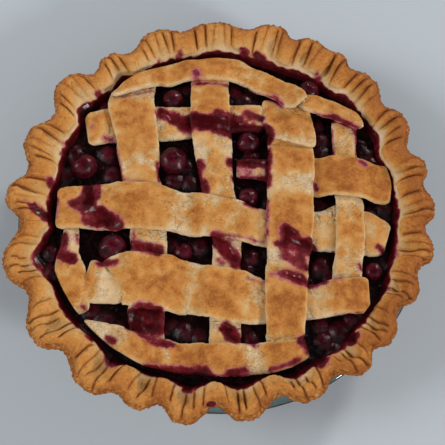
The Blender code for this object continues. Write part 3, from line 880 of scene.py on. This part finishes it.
chance = random.Random(SCATTER_SEED)
lumps = list(SUNK_CHERRIES)
for _ in range(SCATTERED_CHERRIES):
    turn = chance.uniform(0.0, math.tau)
    out = SCATTER_RADIUS * math.sqrt(chance.random())
    lumps.append((out * math.cos(turn), out * math.sin(turn), chance.uniform(*SCATTER_SIZES),
                  chance.uniform(*SCATTER_TOPS)))
near_cherries = cells_of_cherries(lumps)

builder = bmesh.new()
skin_layer, = mark_vertices(builder, "skin")
under_rows = len(FILLING_UNDERSIDE)
for index, column in enumerate(grid_columns(builder, FILLING_ANGLES, FILLING_RINGS + under_rows)):
    turn = index % FILLING_ANGLES * math.tau / FILLING_ANGLES
    for row, vertex in enumerate(column):
        if row < under_rows:
            radius, height = FILLING_UNDERSIDE[row]
            vertex.co = (radius * math.cos(turn), radius * math.sin(turn), height)
            continue
        radius = FILLING_RADIUS * (1.0 - (row - under_rows) / FILLING_RINGS)
        x = radius * math.cos(turn)
        y = radius * math.sin(turn)
        height, skin = filling_height(x, y)
        vertex.co = (x, y, height)
        vertex[skin_layer] = skin
finish_piece(builder, "cherry_filling", cherry_material("set_juice", JUICE_BUMP), "filling",
             "filling")

# Standing cherries ------------------------------------------------------------------------------
# Whole cooked cherries that stand up out of the juice between the strips: glossy, a little
# flattened, slightly wrinkled, and each with the dimple where its stone was pushed out.

CHERRY_FLATTENING = 0.92
CHERRY_SUBDIVISIONS = 5
# The skin's wrinkles: how far they stand out, and their size.
SKIN_BUMPS = ((0.35, 5.0), (0.12, 2.0))
# How far the dimple may lean away from the top, and how deep it is for the cherry's radius.
DIMPLE_LEAN = 0.6
DIMPLE_DEPTH = 0.09
# The cosine of the angle from the dimple's middle to its edge.
DIMPLE_EDGE = 0.86
SKIN_BUMP = 0.0004
cherry_skin = cherry_material("cherry_skin", SKIN_BUMP)
for number, (x, y, radius, middle) in enumerate(CHERRIES, 1):
    chance = random.Random(number)
    dimple = Vector((chance.uniform(-DIMPLE_LEAN, DIMPLE_LEAN),
                     chance.uniform(-DIMPLE_LEAN, DIMPLE_LEAN), DIMPLE_LEAN)).normalized()
    builder = bmesh.new()
    skin_layer, = mark_vertices(builder, "skin")
    bmesh.ops.create_icosphere(builder, subdivisions=CHERRY_SUBDIVISIONS, radius=1.0)
    for vertex in builder.verts:
        direction = vertex.co.normalized()
        hollow = smoothstep((direction.dot(dimple) - DIMPLE_EDGE) / (1.0 - DIMPLE_EDGE))
        spot = direction * radius
        swell = sum(amount * wobble(spot.x, spot.y, spot.z, size, number)
                    for amount, size in SKIN_BUMPS)
        length = radius + swell - DIMPLE_DEPTH * radius * hollow
        direction.z *= CHERRY_FLATTENING
        vertex.co = Vector((x, y, middle)) + direction * length
        vertex[skin_layer] = 1.0 - 0.5 * hollow
    finish_piece(builder, f"whole_cherry_{number}", cherry_skin, "cherries", f"cherry_{number}")

# Woven strips -----------------------------------------------------------------------------------
# Hand-cut strips of the same pastry, laid over and under each other on the filling. They browned
# where they stand proud, stayed pale where they dip, and took up juice that boiled over them.

STRIP_THICKNESS = 4.1
# How far in a strip's edge is rounded, and the grid lines that round it.
STRIP_EDGE = 2.4
EDGE_LINES = 5
STRIP_REST = 37.9
# How far in from its sides a strip stays paler, how much, and how much paler its cut edge is.
BORDER = 7.0
BORDER_PALENESS = 0.20
CUT_PALENESS = 0.6
# No strip reaches farther from the pie's middle than this.
STRIP_REACH = 105.0
# How far the broad swells, the dimples and the fine bumps stand out, and how far the middle
# stands above the sides.
SWELL_HEIGHT = 1.1
DIMPLE_HEIGHT = 0.75
FINE_HEIGHT = 0.24
CROWN_HEIGHT = 0.7
# How full the rounded edge is above and below: the two powers of the function "rounded".
TOP_ROUNDING = (2.0, 0.62)
UNDER_ROUNDING = (4.0, 0.25)
# Juice soaks into a strip's sides where its middle lies below this height.
SOAK_HEIGHT = 40.2
SOAK_DEPTH = 0.75
CELL_ALONG = 0.85
CELL_ACROSS = 0.9
# How finely the middle line is traced between two of a strip's points.
TRACE_STEPS = 24
# A strip is let down at stations along it, each with lanes across it. It rises over a strip
# below it on a ramp that begins a margin outside that strip, and a thin gap stays between them.
LAY_STATION = 2.5
LAY_LANES = 5
LAY_RAMP = 9.0
LAY_MARGIN = 1.5
LAY_GAP = 0.1
# How far in the strip's two ends are rounded, how broad a tip is for its strip, and how much
# the strip widens from there.
TIP_LENGTH = 4.0
TIP_BREADTH = 0.78
TIP_WIDENING = 0.22
JUICE_LUMP = 0.45
UNDERSIDE_BAKE = 0.08
# Each strip's middle line: x, y, the width and how far it has browned there.
# Where a strip lies in shade, as the front arc and the right ends do, its browning is set higher:
# painted shade.
STRIPS = {
    "cross_strip_1": (
        (-84, 54, 22, .6), (-66, 57, 24, .5), (-45, 58, 24, .38), (-30, 58, 23, .38),
        (5, 61, 19, .36), (27, 62, 19, .3)),
    "long_strip_1": (
        (-55, 90, 27, .4), (-56, 76, 28, .36), (-56, 68, 29, .62), (-52, 48, 26, .64),
        (-50.5, 33, 25.5, .48), (-48.8, 20, 22, .36), (-44, 0, 22, .3), (-43, -20, 22, .34),
        (-43, -45, 22, .3), (-43, -70, 21, .36), (-43, -87, 21, .3)),
    "long_strip_2": (
        (-7, 96, 24, .5), (-7, 76, 24, .64), (-6.5, 58, 25, .6), (-5, 42, 24, .3),
        (-3.5, 26, 21, .5), (-2, 14, 20, .44), (0, 0, 19, .3), (3.5, -22, 17, .12),
        (2.5, -60, 18, .2), (2.5, -75, 18, .3), (2, -88, 19, .3)),
    "left_end_strip": (
        (-89, -9, 9, .15), (-90, -24, 11, .15), (-90, -32, 15, .4), (-89, -38, 18, .6),
        (-86, -48, 17, .6), (-81, -60, 10, .5), (-79, -64, 7, .45)),
    "cross_strip_3": (
        (-99, .5, 28, .66), (-85, 1, 29, .6), (-72, 1.5, 30, .4), (-58, 1.5, 30, .72),
        (-46, 1, 30, .7), (-33, -.9, 27.8, .6), (-28, -1.8, 27.4, .34), (-22, -2.9, 27, .42),
        (-13, -4.3, 26.8, .6), (-6, -5.4, 26.2, .44), (1, -6.6, 25.6, .58), (12, -8.8, 24.8, .5),
        (26, -12, 24, .38), (58, -14, 25, .33), (72, -13, 31, .34), (86, -16, 28, .36),
        (99, -20, 21, .46)),
    "long_strip_4": (
        (77, 60, 16, .4), (76.5, 45, 15, .38), (76.5, 30, 15, .36), (77, 6, 16, .2),
        (77, -2, 16.5, .45), (77, -14, 17, .66), (76, -27, 17, .56), (74.5, -37, 17, .3),
        (73, -50, 17, .3), (72, -62, 17, .3)),
    "cross_strip_2": (
        (9.5, 27, 13, .3), (25, 26.5, 14, .3), (48, 22, 24, .45), (62, 21, 26, .78),
        (78, 19.5, 27, .84), (92, 17, 26, .82), (104, 15, 24, .78)),
    "cross_strip_4": (
        (-80, -44.5, 28, .55), (-74, -46, 26, .55), (-69, -47, 24, .12), (-62, -46.5, 26, .2),
        (-57, -44.5, 32, .55), (-38, -46.5, 35, .68), (-25, -48.8, 33, .66),
        (-19.5, -49.7, 31.8, .5), (-16.5, -50.2, 31.2, .22), (-13.5, -50.9, 30.9, .54),
        (-6, -52.4, 30.8, .7), (6, -55, 32, .7), (18, -57, 30, .5), (26, -58, 26, .36),
        (40, -58, 23, .3), (52, -58, 21, .26), (60, -57, 21, .4), (72, -55.5, 21, .78),
        (86, -55, 22, .78)),
    "long_strip_3": (
        (42.5, 51, 28, .6), (43, 32, 28, .66), (43, 25, 28, .66), (42.5, 18.5, 28, .34),
        (42, 12.5, 28, .14), (41.7, 6, 28, .5), (41.5, -2, 28, .74), (41, -12, 28, .8),
        (40.5, -22, 27, .6), (39.5, -33, 25, .12), (38.5, -42, 25, .6), (37.5, -60, 24, .8),
        (37, -76, 22, .65), (36, -86, 20, .2)),
    "long_strip_3_patch": (
        (41, 72, 30, .55), (42, 57, 31, .66), (43, 49.5, 31, .6), (43, 43, 31, .24)),
    "front_arc_strip": (
        (-79, -70, 4, .2), (-66, -77, 13, .2), (-50, -84.5, 16, .6), (-37, -88.3, 16.6, .74),
        (-31, -89.8, 17, .36), (-25, -90.8, 17.3, .74), (-8, -92, 18, .76), (10, -92.5, 18, .66),
        (19, -92, 17, .2), (27, -91, 17, .66), (33, -90.5, 16, .7), (49, -86, 11, .6)),
    "back_end_strip": (
        (49, 72, 9, .5), (56, 70.5, 12, .55), (66, 68, 14, .6), (76, 63.5, 13, .6),
        (83, 58, 10.5, .55), (87, 53, 5, .45)),
    "back_arc_strip": (
        (-68, 75, 4, .5), (-52, 86, 12, .6), (-36, 91.5, 15, .66), (-15, 95.5, 16, .68),
        (4, 95.5, 18, .66), (18, 91, 15, .5), (31, 84, 16, .62), (42, 76.5, 16, .62),
        (50, 69, 13, .5)),
}
# Which strips each one lies over.
CROSSINGS = {
    "back_arc_strip": ("long_strip_1", "long_strip_2", "long_strip_3_patch", "back_end_strip"),
    "back_end_strip": ("long_strip_4", "long_strip_3_patch"),
    "cross_strip_2": ("long_strip_4",),
    "cross_strip_3": ("long_strip_1", "long_strip_2", "left_end_strip"),
    "cross_strip_4": ("long_strip_1", "long_strip_2", "long_strip_4"),
    "front_arc_strip": ("long_strip_1", "long_strip_2", "long_strip_3"),
    "long_strip_1": ("cross_strip_1",),
    "long_strip_2": ("cross_strip_1",),
    "long_strip_3": ("cross_strip_2", "cross_strip_3", "cross_strip_4"),
    "long_strip_3_patch": ("long_strip_3",),
    "long_strip_4": ("cross_strip_3",),
}
# Strips cut askew: how far an end runs on for each millimetre across it.
SLANTS = {"long_strip_3_patch": 0.28}
# Where in the wobble the waviness of a strip's left and right sides is read.
LEFT_WAVES = 0.0
RIGHT_WAVES = 40.0
# How close smears come, in millimetres, before they run together.
SMEAR_BLEND = 1.3
# How far outside its edge a smear's juice begins, and over how far it deepens from there.
SMEAR_RIM = (2.4, 5.6)
# How much farther than its own radius a smear can reach.
SMEAR_LOBES = 5.0
# Juice that boiled over the strips, as short smears: from x, y to x, y, radius and depth.
SMEARS = (
    (-16, 91, -15, 90, 3.2, .7), (-64, 73, -37, 82, 1.4, .55), (-37, 82, -14, 86, 1.2, .5),
    (-15, 86, 14, 83.5, 1.4, .7), (20, 80, 34, 73, 1.6, .6), (34, 74, 38, 69, 2.0, .7),
    (-37, 64, -23, 58, 4.6, .8), (-25, 55, -20, 53, 3.6, .75), (-18, 57, 4, 54, 6.4, 1.0),
    (4, 54, 26, 48, 7.2, 1.0), (-2, 63, 12, 61, 2.0, .8), (16, 64, 25, 60, 3.2, .7),
    (6, 31, 27, 29.5, 3.4, .95), (9, 25.0, 18, 24.0, 3.0, .48), (10, 36.5, 27, 35, 3.0, .8),
    (9, 19.5, 26, 18.5, 2.6, .9), (-13, 30, -12, 28, 3.2, .75), (-14, 26, -12, 12, 2.2, 1.0),
    (-11, 16, -9.8, 12.5, 3.2, .8), (29, 38, 29, 14, 1.8, .8), (28, 4, 27.5, -18, 1.3, .75),
    (15, 2.2, 22, .6, 2.0, .75), (-80, 17, -79.5, 1, 4.4, 1.0), (-74.5, 17, -74, 7, 2.4, .65),
    (-89, 3, -86, 5, 3.8, .72), (-83, -1, -81, -3, 3.8, .8), (-72, -4, -66, -8, 6.0, .88),
    (-63, -10, -60, -12, 3.2, .8), (-80, -9, -74, -11, 3.0, .8), (-99, 7, -98, -6, 1.6, .6),
    (-72, 47, -67, 46, 2.4, .6), (-81, 54, -80, 55, 1.6, .55), (-66, 42, -60.5, 19, 1.6, .8),
    (-39, 30, -37.5, 18, 1.4, .75), (-60, 19, -45, 17, 1.2, .5), (-52, -24, -37, -27.5, 4.4, .78),
    (-52, -15, -51.5, -22, 1.6, .6), (-72, -35, -62, -34.5, 2.6, .8),
    (-50, -66, -36, -67, 5.0, .98), (-51, -72.5, -36, -74.5, 4.4, 1.0),
    (-47, -61, -40, -62, 2.0, .7), (-3, -20, 3, -26, 4.4, .8), (3, -26, 10, -35, 4.4, .85),
    (-2, -33, 0, -35, 2.2, .6), (3, -75, 9, -80, 4.2, .85), (-93, -19, -95, -30, 3.4, .78),
    (-91, -31, -88, -32, 4.0, .85), (-86, -17, -85, -22, 1.8, .6), (-80, -61, -79, -62, 2.2, .6),
    (-97, -43, -90, -58, 1.2, .5), (-46, -79.2, -27, -84.6, 1.5, .85),
    (-38, -83.4, -31, -85.2, 2.0, .8), (15, -83, 21, -85, 1.8, .7), (-60, -93, -38, -99, 1.6, .75),
    (-41, -97, -28, -99.5, 2.6, .9), (-28, -99, -8, -101, 3.6, .92),
    (-12, -98.5, -6, -102, 2.6, .85), (-14, -103, 20, -102, 1.8, .75),
    (5, -100.5, 13, -98.5, 2.8, .85), (47, -82, 52, -87, 4.6, .85), (28, -98, 44, -93, 1.8, .7),
    (-65, -80, -61, -82, 2.4, .7), (38, -15, 42, -18, 3.8, .86), (40, -21, 50, -25, 4.6, .88),
    (33, -24, 38, -25, 2.4, .8), (37, -26.5, 53, -28, 2.0, .86), (52, -25, 55, -29, 3.0, .9),
    (38, -31, 46, -36, 4.2, .5), (46, -31, 50, -38, 2.6, .7), (38, -43, 46, -46, 4.0, .82),
    (29, -43, 36, -43, 1.6, .6), (16, -45, 25, -47, 1.2, .6), (50, -49, 60, -47, 2.6, .8),
    (67, -45, 69, -45, 2.0, .6), (68.5, 52, 68.5, 36, 1.8, .75), (84, 50, 84, 36, 1.8, .75),
    (57, 15, 57.5, 12, 2.0, .7), (0, -18, 26, -22, 1.4, .6), (93, -25, 98, -30, 2.4, .7),
    (85, 29, 88, 27.5, 2.2, .75), (58, 62.5, 70, 60, 1.5, .7), (70, 60, 85, 52, 1.8, .75),
    (81, -36, 82, -39, 1.8, .6), (66, -67, 90, -66, 1.4, .6))


def middle_line(points):
    """A strip's traced middle line, with how far along the strip each of its points lies."""
    curve = [Vector(point) for point in points]
    spans = len(points) - 1
    samples = spans * TRACE_STEPS
    fine = [curve_point(curve, sample * spans / samples) for sample in range(samples + 1)]
    runs = [0.0]
    for here, there in zip(fine, fine[1:]):
        runs.append(runs[-1] + (there.xy - here.xy).length)
    return fine, runs


def station_at(fine, runs, run):
    """The traced line's point at a run along the strip, and the direction across it there."""
    low = 0
    high = len(runs) - 2
    while low < high:
        half = (low + high + 1) // 2
        if runs[half] <= run:
            low = half
        else:
            high = half - 1
    share = (run - runs[low]) / (runs[low + 1] - runs[low])
    point = fine[low].lerp(fine[low + 1], share)
    along = (fine[min(low + 4, len(fine) - 1)].xy - fine[max(low - 3, 0)].xy).normalized()
    return point, Vector((-along.y, along.x))


def share_along(off_x, off_y, step_x, step_y):
    """How far along a step a place lies, as a share of it; the place counts from its start."""
    return (off_x * step_x + off_y * step_y) / (step_x ** 2 + step_y ** 2)


def lane_height(heights, lane):
    position = lane * (LAY_LANES - 1)
    low = min(int(position), LAY_LANES - 2)
    return heights[low] + (heights[low + 1] - heights[low]) * (position - low)


def laid_height(heights, index, share, aside):
    """A strip's underside between two stations; aside goes from -1 to 1 across the strip."""
    lane = min(max(aside, -1.0), 1.0) * 0.5 + 0.5
    return (lane_height(heights[index], lane) * (1.0 - share)
            + lane_height(heights[index + 1], lane) * share)


def lay_under(name, x, y):
    """The strip's underside at a place, and how far the place lies outside the strip."""
    lay = laid[name]
    best = None
    for index, (here, there) in enumerate(zip(lay["places"], lay["places"][1:])):
        step_x = there[0] - here[0]
        step_y = there[1] - here[1]
        share = share_along(x - here[0], y - here[1], step_x, step_y)
        held = min(max(share, 0.0), 1.0)
        off_x = x - here[0] - step_x * held
        off_y = y - here[1] - step_y * held
        distance = off_x * off_x + off_y * off_y
        if best is None or distance < best[0]:
            aside = (off_y * step_x - off_x * step_y) / math.hypot(step_x, step_y)
            past = max(-share, share - 1.0, 0.0) * math.hypot(step_x, step_y)
            best = (distance, index, held, aside, past)
    _, index, held, aside, past = best
    half = lay["halves"][index] * (1.0 - held) + lay["halves"][index + 1] * held
    height = laid_height(lay["heights"], index, held, aside / half)
    return height, max(abs(aside) - half, past, 0.0)


def resting_height(name, x, y):
    """Where a strip's underside comes to rest, on the filling or over the strips below it."""
    rest = STRIP_REST + 0.35 * wobble(x, y, 0.0, 18.0, 9.0)
    height = rest
    for under in CROSSINGS.get(name, ()):
        low, outside = lay_under(under, x, y)
        lift = smoothstep(1.0 - (outside - LAY_MARGIN) / LAY_RAMP)
        height = max(height, rest + (low + STRIP_THICKNESS + LAY_GAP - rest) * lift)
    return height


def lay_strip(name):
    """Let a strip down onto the filling and onto the strips below it."""
    fine, runs = middle_line(STRIPS[name])
    count = max(3, round(runs[-1] / LAY_STATION) + 1)
    places = []
    halves = []
    heights = []
    for index in range(count):
        point, across = station_at(fine, runs, runs[-1] * index / (count - 1))
        half = point.z / 2.0
        lanes = []
        for lane in range(LAY_LANES):
            spot = point.xy + across * half * (lane / (LAY_LANES - 1) * 2.0 - 1.0)
            lanes.append(resting_height(name, spot.x, spot.y))
        places.append((point.x, point.y))
        halves.append(half)
        heights.append(lanes)
    smoothed = []
    for index, lanes in enumerate(heights):
        before = heights[max(index - 1, 0)]
        after = heights[min(index + 1, count - 1)]
        smoothed.append([max(lane * 0.5 + (first + last) * 0.25, lane - 0.1)
                         for first, lane, last in zip(before, lanes, after)])
    laid[name] = {"places": places, "halves": halves, "heights": smoothed}
    return fine, runs


def from_edge(index, count, length):
    """How far along a length a grid line lies, with the lines crowded where the edge rounds."""
    rounding = min(STRIP_EDGE, length * 0.3)
    if index <= EDGE_LINES:
        return rounding * (1.0 - math.cos(index / EDGE_LINES * math.pi / 2.0))
    if index >= count - EDGE_LINES:
        return length - rounding * (1.0 - math.cos((count - index) / EDGE_LINES * math.pi / 2.0))
    return rounding + (length - 2.0 * rounding) * (index - EDGE_LINES) / (count - 2 * EDGE_LINES)


def near_smear(point, half, smear):
    """Whether a smear comes near enough to a strip's station to mark it."""
    start_x, start_y, end_x, end_y, radius, _ = smear
    reach = half + radius + SMEAR_LOBES
    low_x, high_x = sorted((start_x, end_x))
    low_y, high_y = sorted((start_y, end_y))
    return low_x - reach < point.x < high_x + reach and low_y - reach < point.y < high_y + reach


def smear_depth(x, y, smears):
    """How much juice lies at a place, where smears that come near each other run together."""
    lobes = 1.3 * wobble(x, y, 0.0, 5.0, 11.0) + 0.6 * wobble(x, y, 0.0, 2.4, 12.0)
    total = 0.0
    weighted = 0.0
    for start_x, start_y, end_x, end_y, radius, strength in smears:
        step_x = end_x - start_x
        step_y = end_y - start_y
        share = share_along(x - start_x, y - start_y, step_x, step_y)
        share = min(max(share, 0.0), 1.0)
        distance = math.hypot(x - start_x - step_x * share, y - start_y - step_y * share)
        reach = radius + lobes * min(radius / 3.5, 1.0)
        weight = math.exp(min((reach - distance) / SMEAR_BLEND, 40.0))
        total += weight
        weighted += weight * strength
    if total < 0.01:
        return 0.0
    inside = SMEAR_BLEND * math.log(total)
    rim_start, rim_length = SMEAR_RIM
    return weighted / total * smoothstep((inside + rim_start) / rim_length)


def rounded(inwards, power, flattening):
    """How far a rounded edge has risen, for how far in from its rim a place lies."""
    return (1.0 - (1.0 - inwards) ** power) ** flattening


def side_width(half, run, side, layer):
    """How far a strip's hand-cut side lies from its middle line."""
    return (half + 0.9 * wobble(run, side, 0.0, 8.0, layer)
            + 0.35 * wobble(run, side, 0.0, 2.2, layer))


def build_strip(name, layer, material):
    """A strip's top and underside as two sheets, which meet along its rounded edge."""
    fine, runs = lay_strip(name)
    length = runs[-1]
    widest = max(point[2] for point in STRIPS[name])
    along_count = round(length / CELL_ALONG)
    across_count = round(widest / CELL_ACROSS) + EDGE_LINES
    slant = SLANTS.get(name, 0.0)
    heights = laid[name]["heights"]
    builder = bmesh.new()
    bake_layer, juice_layer, crack_layer = mark_vertices(builder, "bake", "juice", "crack")
    top = grid_columns(builder, along_count, across_count)
    underside = grid_columns(builder, along_count, across_count)
    for row in range(along_count + 1):
        run = from_edge(row, along_count, length)
        to_end = min(run, length - run)
        point, across = station_at(fine, runs, run)
        along = Vector((across.y, -across.x))
        tip = math.sqrt(1.0 - (1.0 - min(to_end / TIP_LENGTH, 1.0)) ** 2)
        tip = tip * TIP_WIDENING + TIP_BREADTH
        half = point.z / 2.0 * tip
        left = side_width(half, run, LEFT_WAVES, layer)
        width = left + side_width(half, run, RIGHT_WAVES, layer)
        smears = [smear for smear in SMEARS if near_smear(point, half, smear)]
        station = run / length * (len(heights) - 1)
        low = min(int(station), len(heights) - 2)
        for column in range(across_count + 1):
            offset = from_edge(column, across_count, width)
            to_side = min(offset, width - offset)
            spot = point.xy + across * (offset - left) + along * slant * (offset - left)
            if spot.length > STRIP_REACH:
                spot *= STRIP_REACH / spot.length
            x, y = spot
            height = laid_height(heights, low, station - low, (offset - left) / half)
            middle = height + STRIP_THICKNESS / 2.0

            # How far in a place lies: 0 on the edge, and 1 where the edge stops rounding.
            inwards = STRIP_EDGE - math.hypot(max(STRIP_EDGE - to_side, 0.0),
                                              max(STRIP_EDGE - to_end, 0.0))
            inwards = min(max(inwards / STRIP_EDGE, 0.0), 1.0)
            upper = rounded(inwards, *TOP_ROUNDING)
            lower = rounded(inwards, *UNDER_ROUNDING)
            swell = wobble(x, y, 0.0, 9.0, 1.0)
            dimple = wobble(x, y, 0.0, 4.0, 2.0)
            puff = (SWELL_HEIGHT * swell + DIMPLE_HEIGHT * dimple
                    + FINE_HEIGHT * wobble(x, y, 0.0, 1.8, 3.0))
            crown = 1.0 - ((offset - width / 2.0) / (width / 2.0)) ** 2
            crown = CROWN_HEIGHT * crown - CROWN_HEIGHT / 2.0
            juice = smear_depth(x, y, smears)
            relief = (puff + crown) * inwards + JUICE_LUMP * smoothstep((juice - 0.75) / 0.25)
            top[row][column].co = (x, y, middle + (STRIP_THICKNESS / 2.0 + relief) * upper)
            underside[row][column].co = (x, y, middle - STRIP_THICKNESS / 2.0 * lower)

            # The cut edge and a border along it stay paler. Where the edge faces the front its pale
            # band is widened, which is painted light from the front.
            outward = across if offset > width / 2.0 else -across
            rim = 1.0 - smoothstep(inwards / (0.65 + 0.35 * smoothstep(-outward.y)))
            border = 1.0 - smoothstep(to_side / min(BORDER, 0.25 * width))
            patchy = (0.36 * swell + 0.26 * dimple) * min(point.w / 0.5, 1.0)
            patchy += 0.06 - BORDER_PALENESS * border * min(point.w / 0.5, 1.0)
            top[row][column][bake_layer] = (point.w + patchy) * (1.0 - CUT_PALENESS * rim)
            underside[row][column][bake_layer] = UNDERSIDE_BAKE

            # Juice soaks up from the filling where the strip dips into it.
            soak = SOAK_DEPTH * smoothstep((wobble(x, y, 0.0, 9.0, 6.0) + 0.05) / 0.3)
            soak *= smoothstep(SOAK_HEIGHT + 0.8 * wobble(x, y, 0.0, 2.5, 7.0) - height
                               - STRIP_THICKNESS * 0.5)
            top[row][column][juice_layer] = max(
                juice, soak * (1.0 - smoothstep(inwards / 0.45)))
            underside[row][column][juice_layer] = max(juice * 0.8, soak)

            # Pale, stretched dough cracks.
            cracked = (smoothstep((0.74 - point.w) / 0.30)
                       * smoothstep((wobble(x, y, 0.0, 14.0, 15.0) + 0.16) / 0.22))
            for sheet in (top, underside):
                sheet[row][column][crack_layer] = cracked
    finish_piece(builder, "woven_" + name, material, "strips", name)


laid = {}
strip_pastry = pastry_material("strip_pastry")
for number, strip_name in enumerate(STRIPS, 1):
    build_strip(strip_name, number, strip_pastry)

# Table, light and camera ------------------------------------------------------------------------
# A plain pale table under soft daylight from three windows, one of them low at the front right,
# in a pale room that is dim overhead. The camera looks steeply down on the pie from its front.

TABLE_GREY = (0.375, 0.400, 0.424, 1.0)
# The table's darker clouds, and the noises of its clouds and grain: how many to the metre, and
# their detail.
TABLE_CLOUD = tuple(value * 0.97 for value in TABLE_GREY[:3]) + (1.0,)
TABLE_CLOUDS = (3.0, 3.0)
TABLE_GRAIN = (900.0, 2.0)
TABLE_GRAIN_HEIGHT = 0.00005
TABLE_SIZE = 40.0
# Each window: the direction it lies in, how wide it is in degrees, its strength and its colour.
WINDOWS = {
    "front_window": ((0.70, -0.58, 0.42), 9.0, 1.95, (0.97, 0.98, 1.0)),
    "right_window": ((0.48, 0.72, 0.50), 9.0, 1.75, (1.0, 0.985, 0.96)),
    "left_window": ((-0.82, -0.04, 0.54), 24.0, 1.8, (0.98, 0.99, 1.0)),
}
# The ceiling is dim behind the pie's top, where still juice mirrors it: how nearly a direction
# lies towards that place, and the colour there.
DARK_OVERHEAD = (0.0, 0.363, 0.932)
ROOM_COLOURS = ((0.0, (0.92, 0.95, 0.98)), (0.58, (0.92, 0.95, 0.98)),
                (0.80, (0.30, 0.31, 0.32)), (0.90, (0.04, 0.042, 0.045)))
ROOM_STRENGTH = 0.88
VIEW_ELEVATION = math.radians(68.68)
VIEW_DISTANCE = 0.55
VIEW_TARGET = Vector((0.00095, -0.00845, 0.040))
LENS_LENGTH = 74.16
FILM_WIDTH = 36.0

table, tree, shader = new_material("pale_table", {"Roughness": 0.9, "Specular IOR Level": 0.0})
place = add_node(tree, "TexCoord", {}).outputs["Object"]
shade = mixed(tree, noise_at(tree, place, *TABLE_CLOUDS), TABLE_GREY, TABLE_CLOUD)
tree.links.new(shade, shader.inputs["Base Color"])
add_bump(tree, shader, noise_at(tree, place, *TABLE_GRAIN), TABLE_GRAIN_HEIGHT)
builder = bmesh.new()
bmesh.ops.create_grid(builder, x_segments=4, y_segments=4, size=TABLE_SIZE / 2.0)
mesh = bpy.data.meshes.new("table_top")
builder.to_mesh(mesh)
builder.free()
mesh.materials.append(table)
table_top = bpy.data.objects.new("table_top", mesh)
bpy.context.scene.collection.objects.link(table_top)


def add_daylight(name, direction, spread, strength, colour):
    """Soft light that falls evenly on the table from a direction, spread over an angle."""
    light = bpy.data.lights.new(name, "SUN")
    light.angle = math.radians(spread)
    light.energy = strength
    light.color = colour
    lamp = bpy.data.objects.new(name, light)
    away = Vector(direction).normalized()
    lamp.location = away
    lamp.rotation_euler = away.to_track_quat("Z", "Y").to_euler()
    bpy.context.scene.collection.objects.link(lamp)


for window_name, window in WINDOWS.items():
    add_daylight(window_name, *window)

world = bpy.data.worlds.new("soft_room")
world.use_nodes = True
bpy.context.scene.world = world
tree = world.node_tree
background = tree.nodes["Background"]
place = add_node(tree, "TexCoord", {}).outputs["Generated"]
overhead = add_node(tree, "VectorMath", {0: place, 1: DARK_OVERHEAD}, operation="DOT_PRODUCT")
room = colour_ramp(tree, overhead.outputs["Value"], ROOM_COLOURS)
tree.links.new(room, background.inputs["Color"])
background.inputs["Strength"].default_value = ROOM_STRENGTH

bpy.context.scene.view_settings.view_transform = "Standard"

camera_data = bpy.data.cameras.new("camera")
camera_data.sensor_width = FILM_WIDTH
camera_data.lens = LENS_LENGTH
camera = bpy.data.objects.new("camera", camera_data)
camera.location = VIEW_TARGET + Vector((0.0, -math.cos(VIEW_ELEVATION),
                                        math.sin(VIEW_ELEVATION))) * VIEW_DISTANCE
camera.rotation_euler = (math.pi / 2.0 - VIEW_ELEVATION, 0.0, 0.0)
bpy.context.scene.collection.objects.link(camera)
bpy.context.scene.camera = camera
